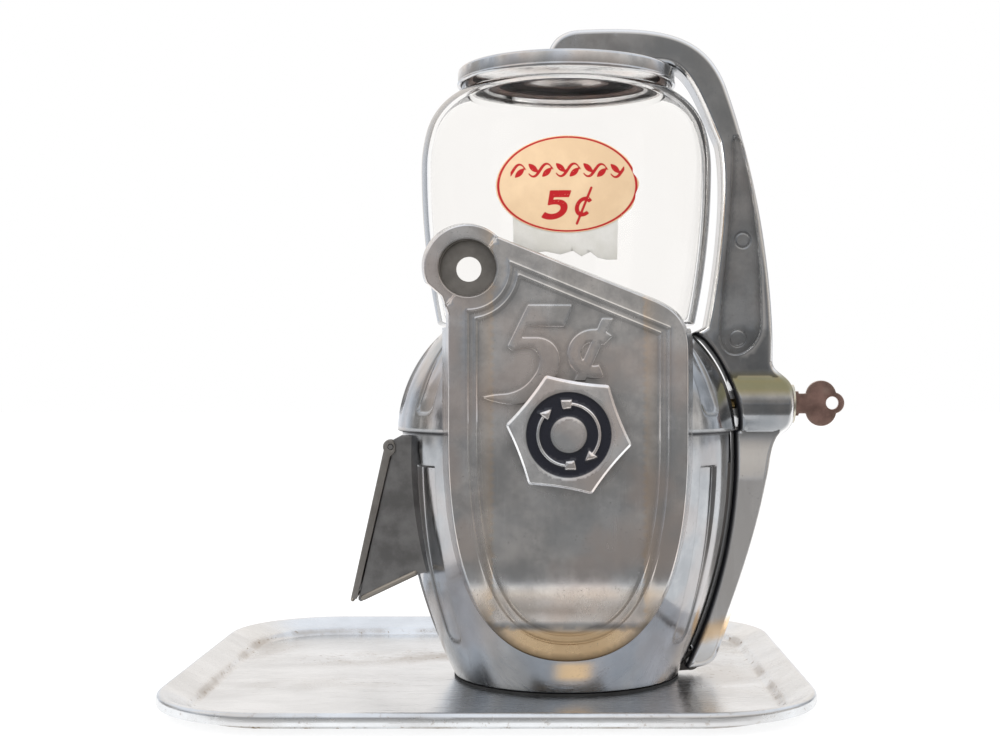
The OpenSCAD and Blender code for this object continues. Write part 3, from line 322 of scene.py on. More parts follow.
def join(*parts):
    """One (verts, faces) of several."""
    verts, faces = [], []
    for points, sides in parts:
        faces += [tuple(i + len(verts) for i in side) for side in sides]
        verts += np.asarray(points, float).tolist()
    return np.array(verts), faces


def rod(a, b, radius, steps=14):
    """A round bar from a to b with rounded ends."""
    a, b = np.array(a, float), np.array(b, float)
    along = (b - a) / np.linalg.norm(b - a)
    side = np.cross(along, (0.0, 0.0, 1.0) if abs(along[2]) < 0.9 else (0.0, 1.0, 0.0))
    side /= np.linalg.norm(side)
    up = np.cross(along, side)
    turn = np.radians(360.0 * np.arange(steps) / steps)
    rings = [(a, -1.0), (a, -0.92), (a, -0.6), (a, 0.0), (b, 0.0), (b, 0.6), (b, 0.92), (b, 1.0)]
    verts = np.array([end + along * t * radius + (side * math.cos(w) + up * math.sin(w))
                      * radius * math.sqrt(max(0.0, 1 - t * t)) for end, t in rings for w in turn])
    faces = [(k * steps + i, k * steps + (i + 1) % steps, (k + 1) * steps + (i + 1) % steps,
              (k + 1) * steps + i) for k in range(len(rings) - 1) for i in range(steps)]
    return merge(verts, faces)


def along_x(verts, height):
    """A solid turned about Z laid along X, at a height."""
    x, y, z = np.asarray(verts).T
    return np.stack([z, x, y + height], 1)


def piece(name, verts, faces, body, finish, slot, stands_for=(), sharp=32.0, **painted):
    """A visible piece that rides on a body and may stand for CAD nodes. painted holds a value for
    each of its points, by name."""
    mesh = bpy.data.meshes.new(name)
    mesh.from_pydata((np.asarray(verts) * MM).tolist(), [], [tuple(f) for f in faces])
    mesh.update()
    for key, values in painted.items():
        mesh.attributes.new(key, "FLOAT", "POINT").data.foreach_set(
            "value", np.asarray(values, np.float32))
    made = bpy.data.objects.new(name, mesh)
    bpy.context.scene.collection.objects.link(made)
    mesh.materials.append(finish.material)
    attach(made, body)
    if stands_for:
        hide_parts(*stands_for)
    made["sharp"] = sharp
    soften(made)
    return made


def soften(made):
    """Shades a piece smooth but for the edges that are sharper than its own limit."""
    made.data.shade_smooth()
    made.data.set_sharp_from_angle(angle=math.radians(made["sharp"]))


def both_sides(back=1.0, **fields):
    """Values at a relief's flat points, given to its front and, times back, to its back."""
    return {name: np.concatenate([values, values * back]) for name, values in fields.items()}


def lay_normals(made, verts, normals):
    """Gives the points of a piece that lie where verts are the normals of the drawn surface."""
    mesh = made.data
    known = {tuple(p): n for p, n in zip(np.round(np.asarray(verts) * 100).astype(int).tolist(), normals)}
    points = np.empty(len(mesh.vertices) * 3)
    mesh.vertices.foreach_get("co", points)
    keys = np.round(points.reshape(-1, 3) / MM * 100).astype(int).tolist()
    wanted = np.array([known.get(tuple(k), (0, 0, 0)) for k in keys])
    corners = np.empty(len(mesh.loops), int)
    mesh.loops.foreach_get("vertex_index", corners)
    own = np.array([tuple(c.vector) for c in mesh.corner_normals])
    flat = np.repeat(np.array([tuple(f.normal) for f in mesh.polygons]),
                     [f.loop_total for f in mesh.polygons], axis=0)
    drawn = wanted[corners]
    fits = np.sum(drawn * flat, 1) > 0.35
    mesh.normals_split_custom_set(np.where(fits[:, None], drawn, own).tolist())


# Shader sockets and finishes

class Socket:
    """A shader output; arithmetic on it adds Math nodes."""

    def __init__(self, finish, link):
        self.finish, self.link = finish, link

    def math(self, operation, *values):
        return self.finish.node("Math", {"operation": operation}, *values)

    def __add__(self, other):
        return self.math("ADD", self, other)

    def __sub__(self, other):
        return self.math("SUBTRACT", self, other)

    def __mul__(self, other):
        return self.math("MULTIPLY", self, other)

    def __rsub__(self, other):
        return self.math("SUBTRACT", other, self)

    __radd__ = __add__
    __rmul__ = __mul__

    def ramp(self, low, high, to_low=0.0, to_high=1.0):
        """Smooth step from to_low, at low and below, to to_high, at high and above."""
        return self.finish.node(
            "MapRange", {"interpolation_type": "SMOOTHSTEP", "clamp": True},
            self, low, high, to_low, to_high)


class Nodes:
    """A node tree in which every node is made by one method."""

    def __init__(self, tree):
        self.tree = tree

    def feed(self, socket, value):
        if isinstance(value, Socket):
            self.tree.links.new(value.link, socket)
        else:
            socket.default_value = value

    def node(self, kind, settings=None, *values, out=0, **named):
        """A node of a kind; values fill its sockets in order, and a name or _number picks one."""
        made = self.tree.nodes.new("ShaderNode" + kind)
        for key, value in (settings or {}).items():
            setattr(made, key, value)
        for socket, value in zip(made.inputs, values):
            self.feed(socket, value)
        for name, value in named.items():
            key = int(name[1:]) if name[0] == "_" else name.replace("_", " ")
            self.feed(made.inputs[key], value)
        return Socket(self, made.outputs[out])

    def noise(self, scale, detail=3.0, rough=0.55, place=None):
        return self.node("TexNoise", None, Vector=place or self.place, Scale=scale,
                         Detail=detail, Roughness=rough)

    def mix(self, share, first, second):
        """Colour mix, from first at 0 to second at 1."""
        return self.node("Mix", {"data_type": "RGBA"}, _0=share, _6=first, _7=second, out=2)

    def stretched(self, x, y, z):
        """This tree's coordinates scaled by three factors."""
        return self.node("VectorMath", {"operation": "MULTIPLY"}, self.place, (x, y, z))

    def finish(self, shader, kind="Material"):
        """Ends the tree in its output."""
        end = self.tree.nodes.new("ShaderNodeOutput" + kind)
        self.feed(end.inputs["Surface"], shader)

    def shown(self):
        """1 for camera, glossy and transmission rays."""
        rays = [self.node("LightPath", out=name)
                for name in ("Is Camera Ray", "Is Glossy Ray", "Is Transmission Ray")]
        return rays[0].math("MAXIMUM", rays[0], rays[1].math("MAXIMUM", rays[1], rays[2]))


class Finish(Nodes):
    """A material built round one Principled shader."""

    def __init__(self, name, **fixed):
        self.material = bpy.data.materials.new(name)
        self.material.use_nodes = True
        super().__init__(self.material.node_tree)
        self.shader = self.tree.nodes["Principled BSDF"]
        self.set(**fixed)
        self.place = self.node("TexCoord", out="Object")

    def set(self, **values):
        for name, value in values.items():
            self.feed(self.shader.inputs[name.replace("_", " ")], value)

    def painted(self, name):
        """A value stored on the mesh by the piece's own maker."""
        return self.node("Attribute", {"attribute_name": name}, out="Fac")

    def bump(self, height, strength, distance):
        self.set(Normal=self.node("Bump", None, Strength=strength, Distance=distance,
                                  Height=height, out="Normal"))


def grey(value, warm=0.0):
    """A grey, warmer in tone where warm is above zero and cooler where it is below."""
    return (value * (1 + warm), value, value * (1 - warm), 1.0)


def polished_casting(name, tone=0.60, shine=0.09, warm=0.006, dirt=0.5, brushed=1.0, browned=0.55):
    """Hand-polished cast aluminium: cloudy, finely scratched, dull where soiling has settled, with painted
    shade, painted highlights and painted reflections where they are marked.
    """
    f = Finish(name)
    cloud = f.noise(44, 5.0, 0.62)
    blotch = f.noise(30, 3.0, 0.5)
    streak = f.noise(110, 4.0, 0.62, f.stretched(1.0, 1.0, 0.10))
    hairline = f.noise(1300, 2.0, 0.7, f.stretched(1.0, 1.0, 0.03)).ramp(0.56, 0.72)
    pit = f.noise(1300, 1.0, 0.5).ramp(0.71, 0.76) * cloud.ramp(0.45, 0.60)
    grime = f.painted("grime")
    enamel = f.painted("enamel")
    light = f.mix(cloud.ramp(0.36, 0.66), grey(tone * 0.74, warm - 0.02), grey(tone * 1.12, warm))
    dulled = f.noise(21, 3.0, 0.55).ramp(0.50, 0.64)
    light = f.mix(dulled * 0.5, light, (tone * 0.70, tone * 0.745, tone * 0.79, 1.0))
    light = f.mix(blotch.ramp(0.46, 0.64) * browned, light, (tone * 1.04, tone * 0.89, tone * 0.81, 1.0))
    # Painted light: a grey-blue painted shade and dark reflection, a white painted highlight and reflection,
    # and warm and yellow-green painted reflections
    marks = {"slate": (tone * 0.56, tone * 0.59, tone * 0.63, 1.0), "bright": (0.88, 0.87, 0.86, 1.0),
             "tan": (0.95, 0.66, 0.37, 1.0), "olive": (0.23, 0.205, 0.10, 1.0)}
    for mark, colour in marks.items():
        light = f.mix(f.painted(mark), light, colour)
    # Soiling and painted shade darken the colour
    light = f.mix(grime * dirt, light, (0.075, 0.066, 0.052, 1.0))
    light = f.mix(pit * 0.6, light, grey(tone * 0.30, 0.06))
    # Black paint and black painted shade make the metal dull and black
    f.set(Base_Color=f.mix(enamel, light, (0.010, 0.011, 0.018, 1.0)), Metallic=1 - enamel)
    f.set(Roughness=shine + streak.ramp(0.35, 0.70) * 0.07 * brushed + hairline * 0.05 * brushed
          + cloud.ramp(0.5, 0.75) * 0.06 + grime * 0.32)
    f.bump(cloud * 0.35 + streak * 0.25 * brushed + hairline * 0.06 * brushed - pit * 0.5, 0.20, 0.0004)
    return f


def plain_metal(name, colour, rough, spread=0.10):
    """Machined or sheet metal seen up close: fine grain and small changes in colour."""
    f = Finish(name, Metallic=1.0)
    cloud = f.noise(120, 4.0, 0.6)
    grain = f.noise(1800, 2.0, 0.6)
    dark = tuple(c * (1 - 2.2 * spread) for c in colour) + (1.0,)
    bright = tuple(c * (1 + spread) for c in colour) + (1.0,)
    light = f.mix(cloud.ramp(0.32, 0.70), dark, bright)
    f.set(Base_Color=f.mix(f.painted("worn"), light, (0.50, 0.45, 0.38, 1.0)))
    f.set(Roughness=rough + cloud.ramp(0.3, 0.7) * 0.10 + grain * 0.08)
    f.bump(grain + cloud, 0.12, 0.0003)
    return f


def rubber(name, colour, rough=0.62):
    """Rubber, felt or bristle: dull, with a fine grain."""
    f = Finish(name)
    cloud = f.noise(160, 4.0, 0.6)
    grain = f.noise(2400, 2.0, 0.6)
    dark = tuple(c * 0.6 for c in colour) + (1.0,)
    f.set(Base_Color=f.mix(cloud.ramp(0.35, 0.7), dark, colour + (1.0,)))
    f.set(Roughness=rough + grain * 0.15)
    f.bump(grain, 0.2, 0.0003)
    return f


def tray_finish():
    """Pressed aluminium, dull and scratched, with brown stains that gather near the rim."""
    f = Finish("tray_aluminium", Metallic=1.0)
    cloud = f.noise(22, 5.0, 0.62)
    smear = f.noise(30, 4.0, 0.6, f.stretched(0.7, 1.2, 1.0))
    speck = f.noise(420, 3.0, 0.7).ramp(0.60, 0.68)
    scratch = f.noise(900, 2.0, 0.6, f.stretched(0.05, 1.0, 1.0)).ramp(0.60, 0.70)
    marked = f.painted("stain")
    stain = marked * (cloud.ramp(0.42, 0.60) * 0.50 + speck * 0.80)
    base = f.mix(smear.ramp(0.3, 0.7), grey(0.66, -0.02), grey(0.80, -0.02))
    f.set(Base_Color=f.mix(stain, base, (0.30, 0.23, 0.16, 1.0)))
    f.set(Roughness=0.17 + cloud * 0.12 + scratch * 0.10 + stain * 0.25)
    f.bump(scratch * 0.4 + cloud * 0.6 + speck * 0.2, 0.12, 0.0004)
    return f


def clear_glass():
    """Thin old glass, nearly clear, with a few dull specks."""
    f = Finish("clear_glass", Transmission_Weight=1.0, IOR=1.04, Roughness=0.0, Coat_Weight=0.10,
               Coat_Roughness=0.02)
    haze = f.noise(40, 4.0, 0.6)
    speck = f.noise(900, 2.0, 0.6).ramp(0.72, 0.78)
    f.set(Base_Color=f.mix(haze, (0.980, 0.972, 0.960, 1.0), (0.960, 0.948, 0.934, 1.0)))
    f.set(Roughness=speck * 0.12)
    return f


def paper(name, light, dark, print_colour):
    """Old paper stuck on glass, browned in patches, with its print on it."""
    f = Finish(name, Roughness=0.55)
    cloud = f.noise(70, 4.0, 0.6)
    fibre = f.noise(1500, 3.0, 0.6)
    sheet = f.mix(cloud.ramp(0.35, 0.70), dark, light)
    worn = f.painted("ink") * (1 - fibre.ramp(0.66, 0.72) * 0.8)
    f.set(Base_Color=f.mix(worn, sheet, print_colour))
    f.bump(fibre + cloud, 0.25, 0.0002)
    return f


label_paper = paper("label_paper", (0.88, 0.65, 0.41, 1.0), (0.80, 0.575, 0.355, 1.0),
                    (0.50, 0.006, 0.010, 1.0))
scrap_paper = paper("scrap_paper", (0.80, 0.785, 0.745, 1.0), (0.70, 0.685, 0.63, 1.0), grey(0.3))
casting = polished_casting("polished_casting", 0.56, 0.09, -0.02, 0.8)
arm_finish = polished_casting("arm_casting", 0.39, 0.13, -0.025, 0.7, 1.0, 0.2)
plate_casting = polished_casting("plate_casting", 0.71, 0.15, 0.012, 0.7)
knob_finish = polished_casting("knob_casting", 0.86, 0.20, 0.0, 0.5, 0.4)
lid_metal = polished_casting("lid_metal", 0.74, 0.06, 0.004, 0.8)
tray_metal = tray_finish()
glass = clear_glass()
chute_steel = plain_metal("chute_steel", (0.31, 0.305, 0.30), 0.36, 0.11)
brass = plain_metal("aged_brass", (0.42, 0.30, 0.13), 0.28)
key_brass = plain_metal("key_brass", (0.36, 0.23, 0.195), 0.36, 0.15)
lock_steel = plain_metal("lock_steel", (0.62, 0.58, 0.48), 0.2)
screw_steel = plain_metal("screw_steel", (0.42, 0.42, 0.40), 0.30)
inner_zinc = plain_metal("inner_zinc", (0.33, 0.31, 0.285), 0.38)
wheel_metal = plain_metal("wheel_metal", (0.55, 0.50, 0.38), 0.34)
black_rubber = rubber("black_rubber", (0.03, 0.03, 0.03))
felt_seal = rubber("felt_seal", (0.30, 0.28, 0.25), 0.8)
red_seal = rubber("red_seal", (0.17, 0.11, 0.09))
bristle = rubber("bristle", (0.07, 0.05, 0.035), 0.7)

NODE_FINISH = {
    casting: "lower_body hopper_dome",
    arm_finish: "arm",
    plate_casting: "coin_plate",
    knob_finish: "knob",
    lid_metal: "lid",
    tray_metal: "tray",
    glass: "globe",
    chute_steel: "chute_snout chute_flap flap_pin",
    brass: "front_bush rear_bush coin_wheel drive_pinion spindle_nut lock_plug",
    key_brass: "key",
    lock_steel: "lock_barrel lock_nut lock_cam cam_screw",
    screw_steel: "tray_screws plate_screws bracket_screws arm_pivot_pin pawl_pin",
    inner_zinc: "coin_raceway mechanism_bracket knob_shaft ratchet_wheel shaft_collar"
                " ratchet_pawl pawl_spring wheel_spindle stirrer brush_holder inner_chute",
    wheel_metal: "product_wheel",
    black_rubber: "foot_gasket lid_pad",
    felt_seal: "globe_gasket",
    red_seal: "lid_gasket",
    bristle: "dispensing_brush",
}
for finish, names in NODE_FINISH.items():
    for name in names.split():
        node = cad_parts[name]
        node.data.materials.clear()
        node.data.materials.append(finish.material)


# Sizes that the pieces take from the frame, in millimetres

def high(node, axis=2):
    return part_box(node)[1][axis] / MM


def low(node, axis=2):
    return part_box(node)[0][axis] / MM


BELLY_R, BELLY_Z, BELLY_ARC, WALL = 72.5, 100.0, 215.0, 4.5
SEAM_Z, SEAT_Z = high("lower_body"), low("globe_gasket")
DOME_CX, DOME_CZ, DOME_ARC = 14.4, 108.0, 60.0
FACE_Y, PLATE_T = low("coin_plate", 1), 3.6
BEND_Z, BEND_R = 75.0, 100.7
DRAFT = 0.003675
BOSS, BOSS_R, RECESS_R = np.array([-39.4, 175.3]), 17.0, 11.2
SHAFT_Z = 110.3
LOCK_Z = 121.0
# The arm's pin at the body's foot, in X and Z, and the X of the arm above the lock
ARM_PIVOT, ARM_X = (54.67, 8.0), 90.7
GLOBE_R, GLOBE_MID, GLOBE_ARC = 64.0, 224.0, 323.0


def casting_r(z):
    """Outer radius of the body and dome at a height."""
    z = np.asarray(z, float)
    body = BELLY_R - BELLY_ARC + np.sqrt(BELLY_ARC ** 2 - (z - BELLY_Z) ** 2)
    dome = DOME_CX + np.sqrt(np.maximum(0, DOME_ARC ** 2 - (z - DOME_CZ) ** 2))
    return np.where(z < SEAM_Z, body, dome)


def face_y(z):
    """Y of the coin plate's face at a height: upright above, bent back to the body below."""
    z = np.asarray(z, float)
    bent = BEND_R + FACE_Y - np.sqrt(BEND_R ** 2 - np.minimum(z - BEND_Z, 0) ** 2)
    return np.where(z >= BEND_Z, FACE_Y, bent)


def radius_from(points, centre):
    """Distance of points from a centre."""
    return np.linalg.norm(points - np.array(centre), axis=1)


def from_segment(points, a, b):
    """Distance of points from a straight line between two points."""
    a, b = np.array(a), np.array(b)
    share = np.clip((points - a) @ (b - a) / ((b - a) @ (b - a)), 0, 1)
    return np.linalg.norm(points - a - share[:, None] * (b - a), axis=1)


# Coin plate: one casting with a sunken face, the coin boss and a raised price mark

PLATE_SIDES = (cubic((47, 108), (47, 62), (37.13, 20.3), (0, 20.3), 60)
               + cubic((0, 20.3), (-37.13, 20.3), (-47, 62), (-47, 108), 60))
# The same sides carried straight up, from which the sunken face is drawn
PLATE_RUN = np.array(PLATE_SIDES + [(-47, 108), (-47, 215), (47, 215)])
PLATE_AND_BOSS = even(np.array(
    PLATE_SIDES + [(-47, 108), (-47, 157), (-49.3, 164)]
    + [tuple(p) for p in ring(BOSS, BOSS_R, 40, 201.0, -160.0)]
    + cubic((32.2, 163.2), (43.2, 158.8), (47, 154), (47, 141), 16) + [(47, 141)]), 1.1)

FIVE = np.array(
    [(-15.8, 160.7), (1.6, 160.7), (-1.7, 152.3), (-16.6, 152.5), (-18.1, 147.9)]
    + cubic((-12.0, 147.9), (-6.5, 147.5), (-3.2, 143.5), (-3.5, 138.2), 12)
    + cubic((-3.5, 138.2), (-4.0, 130.0), (-12.0, 119.5), (-25.7, 122.2), 16)
    + cubic((-25.7, 122.2), (-29.0, 122.8), (-31.5, 123.5), (-33.5, 124.5), 6)
    + cubic((-33.5, 124.5), (-30.0, 125.5), (-27.5, 125.6), (-24.3, 125.8), 6)
    + cubic((-24.3, 125.8), (-20.0, 126.5), (-16.5, 128.5), (-14.0, 132.0), 8)
    + cubic((-14.0, 132.0), (-12.0, 134.5), (-11.2, 136.5), (-11.2, 138.7), 6)
    + cubic((-11.2, 138.7), (-11.3, 141.8), (-12.8, 143.6), (-15.0, 143.8), 6)
    + cubic((-15.0, 143.8), (-18.0, 144.0), (-20.0, 143.3), (-22.0, 142.8), 6)
    + [(-22.0, 142.8), (-23.8, 144.3)])
CENT_BAR = np.array([(13.2, 155.4), (17.3, 155.4), (6.5, 131.0), (2.4, 131.0)])


def cent_ring():
    """The open ring of the raised price mark's letter."""
    turn = np.radians(np.linspace(46, 292, 34))
    outer = np.stack([10 + 10.2 * np.cos(turn), 141.5 + 9.6 * np.sin(turn)], 1)
    inner = np.stack([10 + 5.2 * np.cos(turn), 141.5 + 4.8 * np.sin(turn)], 1)
    return np.concatenate([outer, inner[::-1]])


CENT = cent_ring()


def price_mark(points):
    """How deep points lie in the raised figure and the price mark beside it."""
    return np.maximum.reduce([depth_inside(points, loop) for loop in (FIVE, CENT, CENT_BAR)])


def panel(points):
    """How far inside the outer edge of the sunken face points lie."""
    top = (np.array([39.3, 151.7]) - points) @ np.array([0.380, 0.925])
    return np.minimum.reduce([depth_inside(points, PLATE_RUN) - 7.7, top,
                              radius_from(points, BOSS) - BOSS_R])


def coin_lip(points):
    """How far inside the set-back half of the boss's lip points lie."""
    side = (points - BOSS) @ np.array([-0.809, 0.588]) + 2
    return np.minimum(side, BOSS_R + 2 - radius_from(points, BOSS))


def plate_front(points):
    """Y of the coin plate's front: two steps down to its face, with the price mark and the lip."""
    ledge = panel(points)
    mark = step(price_mark(points), -0.3, 0.3)
    sunk = step(ledge, -0.35, 0.35) * 0.5 + step(ledge, 3.1, 3.7) * 0.5 - 0.4 * mark
    sunk -= 0.30 * bell(ledge, -0.2, 0.55) + 0.30 * bell(ledge, 3.2, 0.55)
    lip = 1.8 * step(coin_lip(points), -0.25, 0.25)
    return face_y(points[:, 1]) + sunk + lip


def plate_back(points):
    """Y of the coin plate's back: its rim reaches back to the body and the dome."""
    depth = depth_inside(points, PLATE_AND_BOSS)
    z = points[:, 1]
    wide = points[:, 0] * 1.09
    touch = -np.sqrt(np.maximum(0, casting_r(np.minimum(z, SEAT_Z)) ** 2 - wide ** 2)) - 0.1
    rim = np.where(z > SEAT_Z - 4, FACE_Y + 10, np.minimum(touch, -52.0))
    thin = face_y(z) + PLATE_T
    race = np.minimum(from_segment(points, BOSS, (-16, 128)) - 13.4,
                      radius_from(points, (0, SHAFT_Z)) - 24.7)
    share = np.where(race < 0.3, 0.0, 1 - step(depth, 3.4, 3.9))
    return thin + (np.maximum(rim, thin) - thin) * share


def coin_plate_piece():
    """The coin plate, drafted at its sides, with painted shade in its steps and a painted warm reflection on
    its lip.
    """
    recess = ring(BOSS, RECESS_R, 90)
    shaft = ring((0, SHAFT_Z), 7.0, 60)
    features = [(panel, (-1.2, -0.7, -0.2, 0.35, 1.2, 2.2, 2.7, 3.2, 3.7, 4.6)),
                (price_mark, (-0.9, -0.3, 0.0, 0.3)),
                (coin_lip, (-0.25, 0.0, 0.25)),
                (lambda p: depth_inside(p, PLATE_AND_BOSS), (3.4, 3.9))]
    verts, faces, flat, normals = relief(PLATE_AND_BOSS, [recess, shaft], features,
                                         plate_front, plate_back, 1.7, 0.7, 0.4)
    spread = DRAFT * (verts[:, 1] - FACE_Y)
    verts[:, 0] *= 1 + spread
    verts[:, 2] = BELLY_Z + (verts[:, 2] - BELLY_Z) * (1 + spread / 2)
    sink = panel(flat)
    mark = price_mark(flat)
    across, z = flat[:, 0], flat[:, 1]
    # Painted shade: dark lines in the sunken face's steps and round the price mark, a painted shadow round
    # the knob, and painted shade at the coin recess, in a band low on the face and along the lower edge
    # beside the body
    grime = 0.3 * bell(sink, 4.4, 0.9, 1) + 0.25 * bell(sink, 1.1, 0.9, 1)
    grime += 0.5 * bell(mark, -0.6, 0.6, 1)
    grime += 0.5 * np.exp(-np.maximum(0, radius_from(flat, (0, SHAFT_Z)) - 23.0) / 2.0)
    grime += 0.8 * np.exp(-np.maximum(0, radius_from(flat, BOSS) - RECESS_R) / 0.7)
    grime += 0.5 * step(z, 32.6, 34.0) * (1 - step(z, 34.4, 37.0))
    grime += 0.6 * (1 - step(depth_inside(flat, PLATE_AND_BOSS), 0.5, 3.0)) * (1 - step(z, 36, 46))
    # A painted warm reflection on the lip, and more faintly above it
    tan = (1 - step(z, 31.0 + 0.004 * across ** 2, 34.5)) * bell(across, 0, 29.0, 6)
    tan += 0.25 * step(z, 34.0, 37.0) * (1 - step(z, 46.0, 52.0))
    # A painted dark reflection in a band higher on the face
    slate = 0.3 * step(z, 50.0, 52.0) * (1 - step(z, 54.0, 62.0))
    # More painted shade low on the face, on the lip and in a band above it
    grime += 0.30 * (1 - step(z, 34.0, 37.0)) + 0.16 * step(z, 35, 38) * (1 - step(z, 48, 52))
    made = piece("coin_plate_casting", verts, faces, "machine", plate_casting, "plate_casting",
                 ("coin_plate",), 55.0, **both_sides(grime=np.clip(grime, 0, 1), tan=tan, slate=slate))
    lay_normals(made, verts, normals)


# Knob: six slightly hollow sides with a bright bevel, and two arrows in a black ring

def knob_outline(radius):
    """Six corners a little off the level, joined by slightly hollow sides."""
    out = []
    for k in range(6):
        a, b = (np.array([math.cos(t), math.sin(t)]) * radius
                for t in (math.radians(60 * k - 9), math.radians(60 * k + 51)))
        middle = (a + b) / np.linalg.norm(a + b)
        for i in range(24):
            t = i / 24
            out.append(a + (b - a) * t - middle * 0.7 * 4 * t * (1 - t))
    return np.array(out) + np.array([0, SHAFT_Z])


def arrow_loop(start, end, reach=11.9, half=0.5, head=2.1):
    """A thin bent arrow in the knob's ring, clockwise from one angle to another, with a square tail."""
    neck = end + 20.0
    turn = np.radians(np.linspace(start - 8, neck, 28))
    outer = np.stack([np.cos(turn), np.sin(turn)], 1)

    def at(angle, radius):
        return [math.cos(math.radians(angle)) * radius, math.sin(math.radians(angle)) * radius]

    loop = np.concatenate([
        [at(start - 8, reach + 1.6)], outer * (reach + half),
        [at(neck, reach + head), at(end, reach), at(neck, reach - head)],
        outer[::-1] * (reach - half), [at(start - 8, reach - 1.6), at(start + 10, reach - 1.8),
                                       at(start + 10, reach + 1.8)]])
    return loop + np.array([0, SHAFT_Z])


ARROWS = arrow_loop(93, -58), arrow_loop(-88, -236)


def knob_piece():
    """The knob, with a sunken black ring in its face and the arrows raised in the ring."""
    front, back = low("knob", 1), high("knob", 1)
    outline = even(knob_outline(24.7), 1.0)
    # The corners are eased a little, as a hand-finished casting's are
    outline = (np.roll(outline, 1, 0) + outline * 2 + np.roll(outline, -1, 0)) / 4
    hub = (0, SHAFT_Z)

    def ring_depth(points):
        r = radius_from(points, hub)
        return np.minimum(r - 6.8, 16.6 - r)

    def arrows(points):
        return np.maximum.reduce([depth_inside(points, loop) for loop in ARROWS])

    def face(points):
        sunk = 0.9 * step(ring_depth(points), -0.1, 0.3)
        raised = 0.75 * step(arrows(points), -0.12, 0.12)
        dome = 0.2 * (radius_from(points, hub) / 24.0) ** 2
        bevel = 0.9 * (1 - step(depth_inside(points, outline), 0.1, 1.3))
        return front + sunk - raised * step(ring_depth(points), 0, 0.3) + dome + bevel

    verts, faces, flat, normals = relief(
        outline, [], [(ring_depth, (-0.1, 0.1, 0.3)), (arrows, (-0.12, 0.12)),
                      (lambda p: depth_inside(p, outline), (0.7, 1.3))],
        face, lambda p: np.full(len(p), back), 1.1, 0.4, 0.22)
    black = step(ring_depth(flat), 0.0, 0.2) * (1 - step(arrows(flat), -0.1, 0.1))
    # Darker along the edges of the sunken ring
    grime = 0.7 * bell(ring_depth(flat), 0, 0.5, 1)
    made = piece("knob_casting", verts, faces, "knob_set", knob_finish, "knob_metal", ("knob",), 55.0,
                 **both_sides(0.0, enamel=black, grime=grime))
    lay_normals(made, verts, normals)


# Body and dome: turned castings with soft flutes pressed into both sides

FLUTES = [s * a for s in (1, -1) for a in (54.5, 78.0, 102.0, 125.5)]
FLUTE_HALF = 5.5


def flute_columns():
    """Angles from the front, close together at the flutes' edges."""
    angles = {round(a, 3) for a in np.arange(-180, 180, 2.0)}
    for middle in FLUTES:
        angles = {a for a in angles if abs(a - middle) > FLUTE_HALF + 1.6}
        angles |= {round(middle + k * 1.1, 3) for k in range(-4, 5)}
        for edge in (-FLUTE_HALF, FLUTE_HALF):
            angles |= {round(middle + edge + k, 3) for k in (-1.2, -0.6, -0.3, 0.0, 0.3, 0.6)}
    return np.array(sorted(angles))


def fluted_casting(name, outer, section, depth, node, finish):
    """A turned casting. outer is its outside and section the rest of its closed half section, in
    (radius, z) points; depth(angle, radius, z) presses the outside in."""
    columns = flute_columns()
    outer, section = np.array(outer, float), np.array(section, float)
    profile = np.concatenate([outer, section])
    angle, radius = np.meshgrid(columns, profile[:, 0], indexing="ij")
    z = np.broadcast_to(profile[:, 1], radius.shape)
    pressed = depth(angle, radius, z)
    pressed[:, len(outer):] = 0
    radius = radius - pressed
    turn = np.radians(angle)
    verts = np.stack([radius * np.sin(turn), -radius * np.cos(turn), z], -1).reshape(-1, 3)
    count, rows = len(columns), len(profile)
    faces = []
    for i in range(count):
        for k in range(rows):
            a, b = i * rows + k, i * rows + (k + 1) % rows
            c, d = ((i + 1) % count) * rows + (k + 1) % rows, ((i + 1) % count) * rows + k
            faces.append((a, d, c, b))
    verts, faces = merge(verts, faces)
    made = piece(name, verts, faces, "machine", finish, "casting", (node,), 34.0)
    return made


def trough(angle, radius, z, low_z, high_z, low_r, high_r):
    """How far inside the nearest flute a point lies, measured along the surface."""
    inside = np.full(angle.shape, -99.0)
    for middle in FLUTES:
        across = np.abs(np.radians(angle - middle)) * radius
        half = math.radians(FLUTE_HALF) * radius
        near_low, near_high = low_z + low_r - z, z - (high_z - high_r)
        edge = half - across
        for near, corner in ((near_low, low_r), (near_high, high_r)):
            over = np.maximum(across - (half - corner), 0)
            rounded_end = corner - np.hypot(over, np.maximum(near, 0))
            edge = np.where(near > 0, np.minimum(edge, rounded_end), edge)
        inside = np.maximum(inside, edge)
    return inside


def paint(made, **fields):
    """Stores on each point of a piece how strongly it is marked by each field of points."""
    points = np.empty(len(made.data.vertices) * 3)
    made.data.vertices.foreach_get("co", points)
    points = points.reshape(-1, 3) / MM
    for name, field in fields.items():
        made.data.attributes.new(name, "FLOAT", "POINT").data.foreach_set(
            "value", np.clip(field(points), 0, 1).astype(np.float32))


# Lowest and highest point of a flute, and the radius of its lower and upper corners
BODY_FLUTES = 20.5, 96.0, 4.6, 0.9
DOME_FLUTES = 116.5, 150.0, 4.8, 3.4


def shell_grime(points, flutes, seams):
    """Painted shade round the flutes, dark joints along seams at some heights, and painted shade beside the
    arm.
    """
    radius = np.hypot(points[:, 0], points[:, 1])
    angle = bearing(points)
    edge = trough(angle, radius, points[:, 2], *flutes)
    dirt = 0.9 * bell(edge, 0.6, 0.45, 1)
    for seam in seams:
        dirt = dirt + 1.2 * bell(points[:, 2], seam, 0.7, 1)
    return dirt + 1.2 * bell(angle, 87, 6.5, 4)


